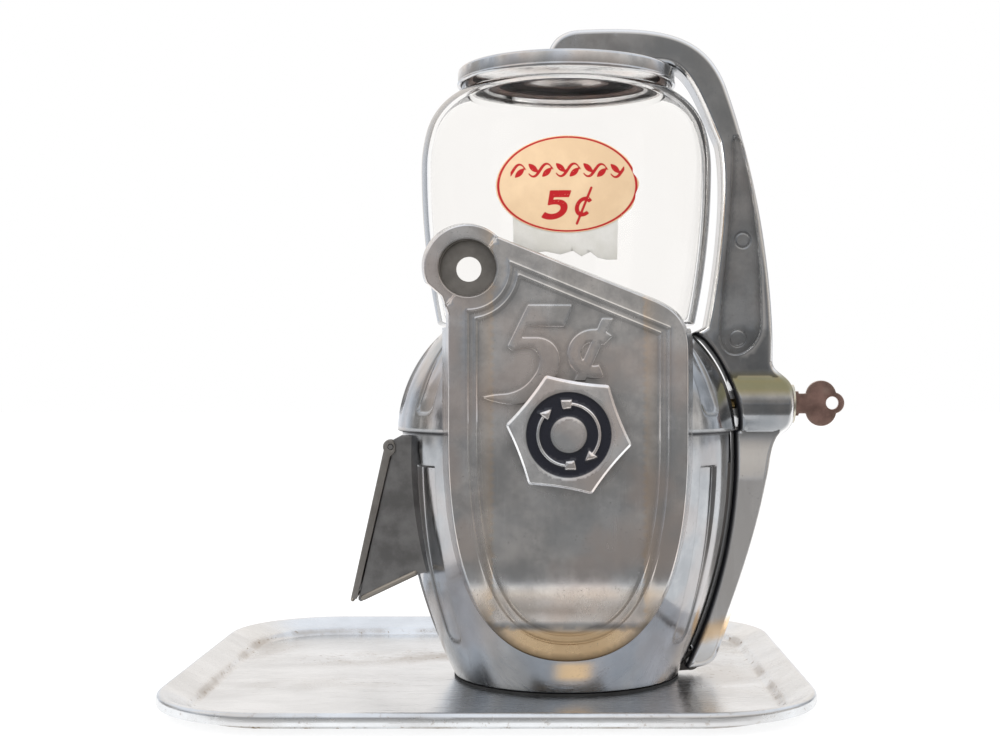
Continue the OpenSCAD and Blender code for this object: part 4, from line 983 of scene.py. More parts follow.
def covered(points):
    """A strip of painted shade and reflection where the arm stands beside the body, and the dark joint
    between body and dome.
    """
    joint = 1 - step(np.abs(points[:, 2] - SEAM_Z), 0.3, 0.9)
    return np.maximum(0.5 * bell(bearing(points), 88, 5.0, 4), 0.9 * joint)


def dulled_foot(points):
    """Painted dark reflection and shade on the body: low in front, and between the flutes."""
    above = step(points[:, 2], 30, 62)
    return 0.6 * (1 - above) * bell(bearing(points), 0, 62.0, 4) + 0.45 * above


def foot_tan(points):
    """A painted warm reflection in a patch low on the body's front."""
    x, y, z = points.T
    return 0.95 * bell(x, 2.2, 7.5, 4) * step(z, 7, 9.5) * (1 - step(z, 14.5, 18)) * (y < 0)


def lower_body_piece():
    """The body, with the lug for the arm's pin and openings for the chute and the works."""
    foot = low("lower_body")
    rows = np.concatenate([[foot, foot + 0.4, foot + 1.0], np.arange(foot + 3, 19, 2.4),
                           np.arange(19, 31, 1.0), np.arange(31, 92, 2.6), np.arange(92, 98, 0.5),
                           np.arange(98.5, SEAM_Z - 0.6, 2.4), [SEAM_Z - 0.5, SEAM_Z - 0.15, SEAM_Z]])
    outer = [(float(casting_r(min(z, SEAM_Z - 1e-4))), z) for z in rows]
    outer[0] = (outer[0][0] - 0.5, foot)
    outer[-1] = (outer[-1][0] - 0.5, SEAM_Z)
    inner = [(float(casting_r(min(z, SEAM_Z - 1e-4))) - WALL, z)
             for z in np.linspace(SEAM_Z, foot, 16)]

    def depth(angle, radius, z):
        inside = trough(angle, radius, z, *BODY_FLUTES)
        return step(inside, 0.0, 1.1) * (0.5 + 1.15 * np.clip((z - 20) / 60, 0, 1))

    made = fluted_casting("lower_body_casting", outer, inner, depth, "lower_body", casting)
    lug = np.concatenate([ring(ARM_PIVOT, 4.4, 24, -100, 160), [(45.1, 14.0), (45.1, 3.0)]])
    cut(made, prism(lug, -4, 4), operation="UNION")
    cut(made, prism(ring(ARM_PIVOT, 2.05, 32), -6, 6), box_shape((-81, -27, 50), (-45, 27, 100)),
        box_shape((-34.5, -83, 62), (34.5, -50.42, 112)))
    # Painted shade round the flutes and beside the arm, dark joints at the seams, and painted warm and dark
    # reflections low on the body
    paint(made, grime=lambda p: shell_grime(p, BODY_FLUTES, (foot, SEAM_Z)), tan=foot_tan,
          slate=dulled_foot, enamel=covered)
    soften(made)


def hopper_dome_piece():
    """The dome, with the well for the product wheel and openings for the coin track and the lock."""
    seam, seat = SEAM_Z, SEAT_Z
    rows = np.concatenate([[seam, seam + 0.25, seam + 0.8], np.arange(seam + 2, 116, 1.6),
                           np.arange(116, 124, 0.7), np.arange(124, 146, 1.6),
                           np.arange(146, seat - 0.9, 0.9), [seat - 0.7, seat - 0.25, seat]])
    outer = [(float(casting_r(z + 1e-4)), z) for z in rows]
    outer[0] = (outer[0][0] - 0.7, seam)
    outer[1] = (outer[1][0] - 0.2, outer[1][1])
    outer[-1] = (outer[-1][0] - 0.6, seat)
    well, hub, disc = 47.52, 9.0, 37.5
    floor_z = 117.0
    inner = [(DOME_CX + math.sqrt((DOME_ARC - WALL) ** 2 - (z - DOME_CZ) ** 2), z)
             for z in np.linspace(150.5, 112.0, 16)]
    section = [(well + 0.4, seat), (well, seat - 0.4), (well, floor_z + 2.5), (disc, floor_z + 2.5),
               (disc, floor_z + 10), (0, floor_z + 10), (0, floor_z - 5), (hub, floor_z - 5),
               (hub, floor_z + 7), (disc - 2, floor_z + 7), (disc - 2, floor_z), (well + 2.5, floor_z)
               ] + inner + [(65.0, 112.0), (65.0, seam - 4), (67.4, seam - 4), (67.4, seam)]

    def depth(angle, radius, z):
        inside = trough(angle, radius, z, *DOME_FLUTES)
        return step(inside, 0.0, 1.6) * 1.5 * np.clip(0.35 + (z - 116) / 16, 0, 1) \
            * np.clip((152 - z) / 14, 0, 1)

    made = fluted_casting("hopper_dome_casting", outer, section, depth, "hopper_dome", casting)
    lock, lock_sides = turned([(0, 50), (8, 50), (8, 69.3), (0, 69.3)], 64)
    outlet, outlet_sides = turned([(0, 120), (8.5, 120), (8.5, 130), (0, 130)], 48)
    cut(made, prism([(-34.5, 100), (34.5, 100), (34.5, 135), (-34.5, 135)], -83, -50.42),
        (outlet + (-26, 0, 0), outlet_sides),
        (along_x(lock, LOCK_Z), lock_sides),
        box_shape((52.1, -3, LOCK_Z - 9), (77.5, 3, LOCK_Z + 9)),
        box_shape((-16.5, -46.5, 116), (16.5, -37, 122)),
        turned([(0, 108), (5, 108), (5, 131), (0, 131)], 48))
    # Painted shade round the flutes and beside the arm, and dark joints at the seams
    paint(made, grime=lambda p: shell_grime(p, DOME_FLUTES, (seam, seat)), enamel=covered)
    soften(made)


# Arm: a bowed casting with a sunken panel in each side and a housing for the lock

def arm_loops():
    """The arm's outline and the outline of its sunken panel."""
    under = high("lid_pad")
    top = under + 15
    globe_r, mid, lock, tip, x = GLOBE_R, GLOBE_MID, LOCK_Z, -8.3, ARM_X
    foot, pivot = 49.07, ARM_PIVOT[0]
    loop = (
        cubic((tip, under + 2.1), (tip + 0.5, top - 4.4), (tip + 6.5, top - 0.8), (tip + 13.5, top - 0.2), 12)
        + cubic((tip + 13.5, top - 0.2), (globe_r - 22.8, top + 1.6), (globe_r - 3.8, top - 1.4),
                (globe_r + 5.6, under - 8.8), 30)
        + cubic((globe_r + 5.6, under - 8.8), (globe_r + 17.2, under - 40.4), (x + 0.1, lock + 64),
                (x, lock + 18), 40)
        + cubic((x, lock + 18), (x + 0.6, lock + 14.5), (x + 5.5, lock + 13), (x + 7.6, lock + 9.5), 10)
        + cubic((x + 7.6, lock + 9.5), (x + 8.5, lock + 7.9), (x + 8.9, lock + 6.5), (x + 8.9, lock + 5), 4)
        + cubic((x + 8.9, lock + 5), (x + 8.9, lock), (x + 8.9, lock - 3), (x + 8.9, lock - 5), 6)
        + cubic((x + 8.9, lock - 5), (x + 8.9, lock - 8.5), (x + 8, lock - 10.5), (x + 6, lock - 12.2), 6)
        + cubic((x + 6, lock - 12.2), (x + 2.5, lock - 14.5), (x + 0.4, lock - 18), (x - 0.9, lock - 26), 12)
        + cubic((x - 0.9, lock - 26), (x - 5, 68), (x - 13.5, 42), (foot + 17.9, 13), 30)
        + cubic((foot + 17.9, 13), (foot + 16, 7.5), (foot + 13.1, 5.6), (pivot - 1.5, 5), 14)
        + [(pivot - 1.5, 5), (pivot - 2.6, 6.1)]
        + [(casting_r(z) + 1.25, z) for z in np.arange(7.2, SEAM_Z, 1.5)]
        + [(casting_r(z) + 1.25 + 0.02 * (z - SEAM_Z), z) for z in np.arange(SEAM_Z + 0.6, 149.5, 1.5)]
        + cubic((globe_r - 8.5, SEAT_Z - 2.5), (globe_r - 6, SEAT_Z - 1), (globe_r - 4, SEAT_Z),
                (globe_r - 3, SEAT_Z + 0.5), 6)
        + cubic((globe_r - 3, SEAT_Z + 0.5), (globe_r + 1.2, mid - 48), (globe_r + 6.7, mid - 10),
                (globe_r + 2.2, mid + 12), 30)
        + cubic((globe_r + 2.2, mid + 12), (globe_r - 6.8, under - 13.4), (globe_r - 11, under),
                (globe_r - 23, under), 24)
        + [(globe_r - 23, under), (tip + 0.4, under)])
    well = (
        cubic((globe_r + 8.2, mid + 12), (globe_r + 10.2, mid + 19), (globe_r + 13.7, mid + 12),
              (globe_r + 15.2, mid + 4), 10)
        + cubic((globe_r + 15.2, mid + 4), (x - 6.5, lock + 84), (x - 5, lock + 59), (x - 4.9, lock + 35), 24)
        + cubic((x - 4.9, lock + 35), (x - 5.5, lock + 21), (BELLY_R - 3.8, lock + 15),
                (BELLY_R - 6.1, lock + 29), 16)
        + cubic((BELLY_R - 6.1, lock + 29), (BELLY_R - 5.3, lock + 51), (globe_r + 8.7, mid - 19),
                (globe_r + 8.2, mid + 12), 24))
    return even(loop, 1.6), even(well, 1.2)


# Cast rings in the arm's side, each (x, z, radius), and the radius of its housing
ARM_MARKS = ((77.2, 192.8, 3.3), (75.0, 149.9, 3.6))
HOUSING_R = 11.6


def arm_half(points, well):
    """Half the arm's thickness: a sunken panel above, and a round housing that swells out of it."""
    x, z = points.T
    off = np.abs(z - LOCK_Z)
    web = 9.5 - 1.8 * step(x, 60, 72) * (1 - step(off, 14, 34)) - step(depth_inside(points, well), 0, 1)
    for mx, mz, radius in ARM_MARKS:
        web -= 0.25 * (1 - step(np.abs(radius_from(points, (mx, mz)) - radius), 0.2, 0.9))
    housing = np.sqrt(np.maximum(0, HOUSING_R ** 2 - off ** 2)) * step(x, 60, 66)
    return (web + housing + np.sqrt((web - housing) ** 2 + 14.0)) / 2 - 0.3


def arm_piece():
    """The arm, with a painted reflection below its housing and painted highlights along its edges."""
    loop, well = arm_loops()
    around_lock = (2, 5, 7, 8.5, 10, 11.8, 12.4, 12.9, 13.4, 14, 15.6, 16.2, 16.7, 17.2, 17.8)
    features = [(lambda p: depth_inside(p, well), (-0.6, 0.0, 0.5, 1.0)),
                (lambda p: 20 - np.abs(p[:, 1] - LOCK_Z), around_lock)]
    features += [(lambda p, x=x, z=z, r=radius: r - radius_from(p, (x, z)), (-0.9, -0.4, 0.4, 0.9))
                 for x, z, radius in ARM_MARKS]
    verts, faces, flat, normals = relief(
        loop, [], features, lambda p: -arm_half(p, well), lambda p: arm_half(p, well), 2.0, 2.6, 0.45)
    depth, edge = depth_inside(flat, well), depth_inside(flat, loop)
    x, z = flat.T
    # Painted shade in the panel's step and along the inner edge beside the dome, and darker round the cast
    # rings
    grime = 0.7 * bell(depth, 1.2, 0.8, 1)
    for mx, mz, radius in ARM_MARKS:
        grime += 0.35 * bell(radius_from(flat, (mx, mz)), radius, 0.7)
    inner = (np.abs(x - casting_r(np.minimum(z, SEAT_Z - 0.1))) < 3.2) & (z < SEAT_Z)
    grime += 1.6 * inner * (1 - step(edge, 0.2, 1.6))
    # Black painted shade on the inner edge beside the dome
    shade = 0.95 * inner * (1 - step(edge, 0.9, 2.0))
    # A yellow-green painted reflection on the housing, and a painted warm reflection at the foot
    olive = 0.9 * bell(z, 129.8, 5.0, 4) * step(x, 60, 70)
    tan = 0.85 * bell(z - 0.25 * (x - 64.5), 22.0, 4.2, 4) * (x > 50)
    # A painted reflection below the housing, and painted highlights along the edges and beside the panel
    bright = 1 - step(z, 100, 112)
    bright += 0.9 * bell(edge, 1.0, 0.9) * (1 - inner) + 0.7 * bell(depth, -0.5, 0.5) * step(x, 74, 80)
    bright = np.minimum(bright, 1) * (1 - shade)
    drawn = verts
    made = piece("arm_casting", verts, faces, "arm_set", arm_finish, "casting", ("arm",), 55.0,
                 **both_sides(grime=np.clip(grime, 0, 1), tan=tan, olive=olive, bright=bright,
                              enamel=shade))
    slot_r, slot_x = 5.4, ARM_PIVOT[0]
    slot = np.concatenate([ring(ARM_PIVOT, slot_r, 20, 0, 90),
                           [(slot_x, 22), (40, 22), (40, 0), (slot_x + slot_r, 0)]])
    end = high("lock_barrel", 0) - 0.5
    bore = [(0, 60), (10.0, 60), (10.0, end - 20), (7.1, end - 20), (7.1, end - 15), (8.5, end - 15),
            (8.5, end + 4), (0, end + 4)]
    verts, faces = turned(bore, 96)
    cut(made, prism(slot, -4.3, 4.3), (along_x(verts, LOCK_Z), faces),
        prism(ring(ARM_PIVOT, 2.0, 32), -6.9, 12))
    soften(made)
    lay_normals(made, drawn, normals)


# Key: a flat blank with a bow of three lobes

def key_field(points):
    """How deep points lie in the key: three lobes, the shoulder and the blade, less its cuts."""
    x, z = points.T

    def bar(x0, x1, z0, z1):
        return np.minimum.reduce([x - x0, x1 - x, z - z0, z1 - z])

    depth = np.maximum.reduce([
        6.75 - radius_from(points, (113.0, LOCK_Z + 3.6)), 6.75 - radius_from(points, (113.0, LOCK_Z - 3.1)),
        4.7 - radius_from(points, (118.6, LOCK_Z + 0.4)), bar(86.8, 101.5, LOCK_Z - 3.6, LOCK_Z + 3.6),
        bar(100.9, 110.0, LOCK_Z - 4.3, LOCK_Z + 4.6), bar(100.9, 103.0, LOCK_Z - 5.3, LOCK_Z + 5.6)])
    for at, reach in ((89.2, 1.5), (92.2, 2.1), (95.1, 1.3), (98.0, 1.8)):
        depth = np.minimum(depth, np.hypot((x - at) * 0.8, z - LOCK_Z + 4.1) - reach)
    return depth


def key_piece():
    """The key, with a groove along both sides of its blade."""
    low_y, high_y = low("key", 1), high("key", 1)
    frame_loop = np.array([(86.0, 110.0), (124.5, 110.0), (124.5, 132.5), (86.0, 132.5)])
    grid = lattice(frame_loop, 0.25)
    outline = contours(grid, key_field(grid.reshape(-1, 2)).reshape(grid.shape[:2]))
    outline = thin_out(max(outline, key=len), 0.45)

    def off_groove(points):
        return np.abs(points[:, 1] - LOCK_Z - 0.8)

    def groove(points):
        return 0.5 * (1 - step(off_groove(points), 0.5, 0.9)) * (1 - step(points[:, 0], 100, 101))

    verts, faces, flat, normals = relief(
        outline, [ring((118.0, LOCK_Z + 0.4), 2.85, 48)], [(lambda p: 5 - off_groove(p), (4.1, 4.5))],
        lambda p: low_y + groove(p), lambda p: high_y - groove(p), 1.0, 0.35, 0.25)
    rim = 0.6 * np.exp(-np.maximum(0, key_field(flat)) / 0.5) \
        + 0.5 * bell(radius_from(flat, (115.0, LOCK_Z + 6.0)), 0, 1.6)
    made = piece("door_key", verts, faces, "key", key_brass, "brass", ("key",), 50.0,
                 worn=np.clip(np.concatenate([rim, rim]), 0, 1) * 0.45)
    lay_normals(made, verts, normals)


# Chute: a folded sheet trough at the left, with a flap that hangs over its mouth

FLAP_PIN = np.array([-74.6, 103.2])
LIP = np.array([-88.4, 38.0])
SHEET_T = 0.9


def two_cheeks(outline, holes, half, gap, fine):
    """Two upright sheets of one outline, half apart from the middle at their outsides."""
    return [relief(outline, holes, [], lambda p: np.full(len(p), y), lambda p: np.full(len(p), y + SHEET_T),
                   gap, 0.3, fine)[:2] for y in (-half, half - SHEET_T)]


def chute_trough():
    """The fixed trough: two cheeks against the body, a floor and a bead along each side."""
    half = high("chute_snout", 1)
    foot = np.array([-62.8, 49.2])
    heights = np.linspace(50.5, 108.2, 24)
    against = [(-math.sqrt((float(casting_r(z)) - 1.5) ** 2 - half ** 2), z) for z in heights]
    wall = even([(-70.0, 108.2), (-73.4, 106.4), (-75.9, 104.2), (-76.2, 101.6), (-75.0, 98.2)]
                + [tuple(LIP + (0, 0.6)), tuple(LIP + (0.9, -0.4)), tuple(foot)] + against, 2.0)
    sheets = two_cheeks(wall, [], half, 2.4, 0.6)
    floor = prism([tuple(LIP + (0, 1.6)), tuple(LIP + (0, 0.4)), tuple(LIP + (1.0, -0.4)), tuple(foot),
                   (-57.0, 52.0), (-57.0, 53.0), tuple(foot + (-0.4, 1.0)), tuple(LIP + (1.2, 0.8))],
                  -half + 0.3, half - 0.3)
    beads = [rod((LIP[0] + 2.0, y, LIP[1] + 1.3), (foot[0] - 1.6, y, foot[1] + 0.5), 1.25)
             for y in (-half + 0.5, half - 0.5)]
    verts, faces = join(*sheets, floor, *beads)
    plain = sum(len(v) for v, _ in sheets) + len(floor[0])
    worn = np.where(np.arange(len(verts)) < plain, 0.0, 0.8)
    piece("chute_trough", verts, faces, "machine", chute_steel, "steel", ("chute_snout",), 40.0, worn=worn)


def chute_door():
    """The flap: two cheeks on the pin, and a front sheet that is bent in just below the pin."""
    outer = high("chute_flap", 1)
    bend_r = 3.3
    low_end, top = LIP + (-3.2, 0.3), FLAP_PIN + (-3.0, -1.4)
    cheek = even([tuple(low_end), tuple(top)] + arc(FLAP_PIN, bend_r, np.linspace(205, 75, 9))
                 + [tuple(FLAP_PIN + (1.9, 1.0)), tuple(FLAP_PIN + (2.0, -2.0)),
                    tuple(top + (2.9, -2.6)), tuple(low_end + (2.8, 0.7))], 1.6)
    sheets = two_cheeks(cheek[::-1], [ring(FLAP_PIN, 1.15, 20)], outer, 1.6, 0.4)
    bend = [arc(FLAP_PIN, r, np.linspace(205, 150, 6)) for r in (bend_r, bend_r - SHEET_T)]
    front = prism([tuple(low_end), tuple(top)] + bend[0] + bend[1][::-1]
                  + [tuple(top + (SHEET_T, 0)), tuple(low_end + (SHEET_T, 0.1))], -outer + 0.3, outer - 0.3)
    lip_x, lip_z = low_end + (SHEET_T, 0.3)
    lip = rod((lip_x, -outer + 0.5, lip_z), (lip_x, outer - 0.5, lip_z), 0.85)
    verts, faces = join(*sheets, front, lip)
    worn = np.full(len(verts), 0.30)
    worn[-len(lip[0]):] = 0.8
    piece("chute_door", verts, faces, "flap", chute_steel, "steel", ("chute_flap",), 40.0, worn=worn)


# Tray: pressed sheet with a sloping border and a rolled edge

TRAY_X = (low("tray", 0) + high("tray", 0)) / 2
TRAY_R = 50.0
TRAY_SIDE = np.array([(high("tray", 0) - low("tray", 0)) / 2 - TRAY_R, high("tray", 1) - TRAY_R])


# Stains on the tray's panel, each (x, y, half width, half depth, strength)
STAINS = ((-98, 34, 34, 14, 0.9), (-142, 58, 12, 22, 0.6), (-62, 44, 13, 14, 0.9),
          (-80, -18, 28, 14, 0.4), (64, 8, 14, 34, 0.5), (78, 58, 14, 22, 0.6),
          (-125, -30, 20, 16, 0.3), (82, -20, 20, 34, 0.35))


def tray_reach(points):
    """Distance from the corners' centre lines, which is TRAY_R along the tray's outer edge."""
    over = np.abs(points[:, :2] - np.array([TRAY_X, 0])) - TRAY_SIDE
    return np.where((over > 0).all(1), np.hypot(*over.T), over.max(1))


def tray_stain(points):
    """Where brown stains gather: in the step round the panel, and in a few patches."""
    reach = tray_reach(points)
    stain = 1.1 * bell(reach, 36.6, 1.3) + 0.35 * step(reach, 47.6, 49.2)
    for x, y, wide, deep, share in STAINS:
        stain += share * bell(points[:, 0], x, wide) * bell(points[:, 1], y, deep)
    return stain


def tray_piece():
    """The tray: a section of (reach, height) points swept round it, and its flat panel."""
    section = ([(33.0, 1.6), (34.4, 1.63), (35.6, 2.0), (36.6, 2.9), (37.5, 4.0), (38.5, 4.7), (39.8, 5.2),
                (42.0, 6.3), (44.5, 7.5), (46.6, 8.5)] + arc((48.1, 7.1), 1.9, np.arange(108, -1, -12))
               + [(50.0, 5.8), (50.0, 4.7), (49.7, 4.2), (49.2, 4.1), (48.8, 4.4), (48.7, 6.6), (47.8, 7.4),
                  (46.6, 7.0), (40.0, 3.7), (38.7, 3.1), (37.8, 2.2), (36.9, 0.9), (36.0, 0.25),
                  (34.6, 0.0), (33.0, 0.0)])
    path = []
    for k, (sx, sy) in enumerate(((1, 1), (-1, 1), (-1, -1), (1, -1))):
        here = TRAY_SIDE * (sx, sy)
        ahead = TRAY_SIDE * ((-1, 1), (-1, -1), (1, -1), (1, 1))[k]
        for w in np.radians(90 * k + np.arange(0, 90, 4.5)):
            path.append((here, (math.cos(w), math.sin(w))))
        w = math.radians(90 * k + 90)
        path += [(here + (ahead - here) * t, (math.cos(w), math.sin(w))) for t in np.arange(0, 1, 0.1)]
    base = np.array([p for p, _ in path]) + (TRAY_X, 0)
    away = np.array([d for _, d in path])
    rings = [np.column_stack([base + away * reach, np.full(len(base), z)]) for reach, z in section]
    rings[0], rings[-1] = (np.round(rings[k], 2) for k in (0, -1))
    count = len(base)
    faces = [(k * count + i, (k + 1) * count + i, (k + 1) * count + j, k * count + j)
             for k in range(len(rings) - 1) for i, j in enumerate([*range(1, count), 0])]
    panel_loop = rings[0][:, :2]
    flat, tris = triangles([panel_loop], lambda p: depth_inside(p, panel_loop), 5.0)
    verts, faces = join((np.concatenate(rings), faces),
                        (np.column_stack([flat, np.full(len(flat), 1.6)]), tris.tolist()),
                        (np.column_stack([flat, np.zeros(len(flat))]), tris[:, ::-1].tolist()))
    verts, faces = merge(verts, faces, 0.01)
    made = piece("tray_sheet", verts, faces, "machine", tray_metal, "tray_sheet", ("tray",), 40.0)
    screw = [(0, -0.5), (4.2, -0.5), (4.2, 0.0), (2.2, 1.4), (2.2, 3.0), (0, 3.0)]
    points, sides = turned(screw, 32)
    cut(made, *((points + (x, y, 0), sides) for x, y in arc((0, 0), 35, (30, 150, 270))))
    paint(made, stain=tray_stain)
    soften(made)


# Lid: spun sheet with a rolled edge below

def lid_piece():
    """The lid, turned from one closed section."""
    wide, top = high("lid", 0), high("lid")
    foot = low("lid") + 0.7
    outer = [(wide - 0.9, foot), (wide - 0.3, foot + 0.15), (wide, foot + 0.6), (wide, foot + 1.0),
             (wide - 0.35, foot + 1.4), (wide - 0.4, foot + 1.8), (wide - 0.4, top - 1.9),
             (wide - 0.55, top - 1.3), (wide - 1.1, top - 0.75), (wide - 2.2, top - 0.5),
             (wide - 6.0, top - 0.42), (wide - 9.0, top - 0.2), (22.0, top - 0.02), (0.0, top)]
    inner = [(0.0, top - 1.3), (wide - 9.0, top - 1.5), (wide - 3.0, top - 2.0), (wide - 2.0, top - 3.2),
             (wide - 1.6, foot + 1.2), (wide - 1.6, foot + 0.4)]
    verts, faces = turned(outer + inner, 480)
    radius, z = np.hypot(verts[:, 0], verts[:, 1]), verts[:, 2]
    skirt = radius > wide - 2.5
    # A darker line low on the skirt, and the whole skirt painted darker as a painted dark reflection
    grime = 0.5 * bell(z, foot + 1.8, 0.5, 1) * skirt
    piece("lid_cap", verts, faces, "machine", lid_metal, "lid_sheet", ("lid",), 38.0, grime=grime,
          slate=0.35 * skirt)


# Globe: blown glass with an even, thin wall, a lip turned in below and a straight neck

SHOULDER_ARC, NECK_ARC, NECK_TURN, NECK_H, GLASS_T = 62.0, 27.0, 15.5, 6.3, 1.5


def globe_side(wall, foot):
    """The globe's half section from its foot up to its neck, as far in as a wall is thick."""
    shoulder = GLOBE_R - SHOULDER_ARC, GLOBE_MID
    neck, = arc(shoulder, SHOULDER_ARC - NECK_ARC, [NECK_TURN])
    neck_r = high("lid_gasket", 0) - wall
    end = math.degrees(math.acos((neck_r - 0.4 - neck[0]) / (NECK_ARC - wall)))
    out = [(GLOBE_R - GLOBE_ARC + math.sqrt((GLOBE_ARC - wall) ** 2 - (z - GLOBE_MID) ** 2), z)
           for z in np.linspace(foot, GLOBE_MID, 36)[:-1]]
    out += arc(shoulder, SHOULDER_ARC - wall, np.linspace(0, NECK_TURN, 10)[:-1])
    out += arc(neck, NECK_ARC - wall, np.linspace(NECK_TURN, end, 26))
    return out + [(neck_r, out[-1][1] + 1.0)]


def globe_piece():
    """The globe, with a lip turned in at its foot and an eased rim at its neck."""
    foot, top = low("globe"), high("globe")
    outer, inner = globe_side(0.0, foot + 1.4), globe_side(GLASS_T, foot + 3.2)
    below = arc((outer[0][0] - 1.4, foot + 1.4), 1.4, (-90, -65, -40, -15))
    lip_r = outer[-1][0]
    lip = [(lip_r, top - 0.5), (lip_r - 0.15, top - 0.15), (lip_r - 0.5, top), (lip_r - GLASS_T + 0.4, top),
           (lip_r - GLASS_T, top - 0.4)]
    base = [(inner[0][0] - 0.7, foot + 1.9), (inner[0][0] - 2.0, foot + 1.5), (44.4, foot + 1.5),
            (44.0, foot + 1.1), (44.0, foot + 0.4), (44.4, foot)]
    verts, faces = turned(base + below + outer + lip + inner[::-1], 240)
    piece("globe_shell", verts, faces, "machine", glass, "globe_glass", ("globe",), 50.0)


# Price label on the globe, with the scrap of old paper behind it

LABEL, LABEL_HALF = np.array([-0.2, 210.0]), np.array([29.0, 19.4])


def globe_y(points, off):
    """Y of the globe's front, moved out by off, at points in X and Z."""
    radius = GLOBE_R - GLOBE_ARC + np.sqrt(GLOBE_ARC ** 2 - (points[:, 1] - GLOBE_MID) ** 2) + off
    return -np.sqrt(radius ** 2 - points[:, 0] ** 2)


def small_five(at, size, lean=0.22):
    """A plain leaning numeral five in a loop of points."""
    body = ([(-3.6, 5.0), (3.6, 5.0), (3.3, 3.0), (-2.0, 3.0), (-2.5, 1.5)]
            + cubic((-2.5, 1.5), (1.5, 2.4), (3.8, 0.8), (3.6, -1.6), 12)
            + cubic((3.6, -1.6), (3.4, -4.4), (-1.2, -6.0), (-4.6, -4.2), 12)
            + [(-4.6, -4.2), (-3.9, -2.7)]
            + cubic((-3.9, -2.7), (-1.6, -4.0), (1.4, -3.4), (1.6, -1.4), 10)
            + cubic((1.6, -1.4), (1.7, 0.6), (-1.2, 1.0), (-4.2, -0.2), 10))
    body = np.array(body)
    body[:, 0] += lean * body[:, 1]
    return body * size + np.array(at)


def small_cent(at, size, lean=0.22):
    """The open ring of a leaning cent sign."""
    turn = np.radians(np.linspace(40, 318, 36))
    outer = np.stack([3.3 * np.cos(turn), 3.7 * np.sin(turn)], 1)
    inner = np.stack([1.9 * np.cos(turn), 2.4 * np.sin(turn)], 1)
    body = np.concatenate([outer, inner[::-1]])
    body[:, 0] += lean * body[:, 1]
    return body * size + np.array(at)


def leafy_wave(points, centre, reach):
    """How deep points lie in a waved stem with a leaf in each of its bends."""
    x, z = (points - np.array(centre)).T
    pace = 2 * math.pi / 11.0
    wave = 2.5 * np.sin(x * pace)
    lean = np.sqrt(1 + (2.5 * pace * np.cos(x * pace)) ** 2)
    parts = [np.minimum(0.42 + 0.2 * np.cos(x * pace) - np.abs(z - wave) / lean, reach - np.abs(x))]
    for k in range(-4, 4):
        side = -1 if k % 2 else 1
        c, s = math.cos(0.75), side * math.sin(0.75)
        dx, dz = x - 5.5 * k - 2.75, z + side * 0.9
        u, w = dx * c + dz * s, dz * c - dx * s
        parts.append(1.15 * (1 - (u / 2.7) ** 2) - np.abs(w))
    return np.maximum.reduce(parts)


def label_ink(points):
    """How deep points lie in the label's red print."""
    share = np.linalg.norm((points - LABEL) / LABEL_HALF, axis=1)
    border = 0.36 - np.abs(share - 0.965) * 20.5
    five = depth_inside(points, small_five((-4.2, 201.6), 1.12)) + 0.3
    cent = depth_inside(points, small_cent((6.4, 201.0), 1.05)) + 0.12
    bar = 0.5 - from_segment(points, (3.6, 194.2), (9.4, 208.6))
    strokes = leafy_wave(points, (-0.2, 215.6), 23.0)
    return np.maximum.reduce([border, five, cent, bar, strokes])


def label_loop():
    """The oval label's edge, with the chips that are missing at its right."""
    turn = np.linspace(0, 2 * math.pi, 200, endpoint=False)
    chip = (1 - 0.045 * bell(turn, 0.30, 0.09) - 0.035 * bell(turn, 6.10, 0.10)
            + 0.006 * np.sin(turn * 23) * (np.cos(turn) > 0.75))
    return LABEL + LABEL_HALF * np.stack([np.cos(turn), np.sin(turn)], 1) * chip[:, None]


def label_pieces():
    """The printed label, and the torn paper that hangs out below it."""
    loop = label_loop()
    verts, faces, flat, _ = relief(loop, [], [(label_ink, (-0.12, 0.12))], lambda p: globe_y(p, 0.30),
                                lambda p: globe_y(p, 0.16), 1.0, 0.05, 0.22)
    ink = step(label_ink(flat), -0.12, 0.12)
    piece("price_label", verts, faces, "machine", label_paper, "globe_glass", (), 60.0,
          **both_sides(0.0, ink=ink))
    torn = [(-22.4, 206), (-22.0, 184.0), (-16, 182.6), (-9, 183.2), (-3, 181.9), (2, 183.4), (5.5, 181.2),
            (9, 183.0), (12, 180.8), (15.5, 180.0), (20.0, 180.2), (20.4, 206)]
    verts, faces, flat, _ = relief(even(torn, 0.9), [], [], lambda p: globe_y(p, 0.14),
                                lambda p: globe_y(p, 0.05), 1.6, 0.04, 0.5)
    piece("paper_scrap", verts, faces, "machine", scrap_paper, "globe_glass", (), 60.0)


lower_body_piece()
hopper_dome_piece()
coin_plate_piece()
knob_piece()
arm_piece()
key_piece()
chute_trough()
chute_door()
tray_piece()
globe_piece()
lid_piece()
label_pieces()


# Studio: floor, world, lamps and camera

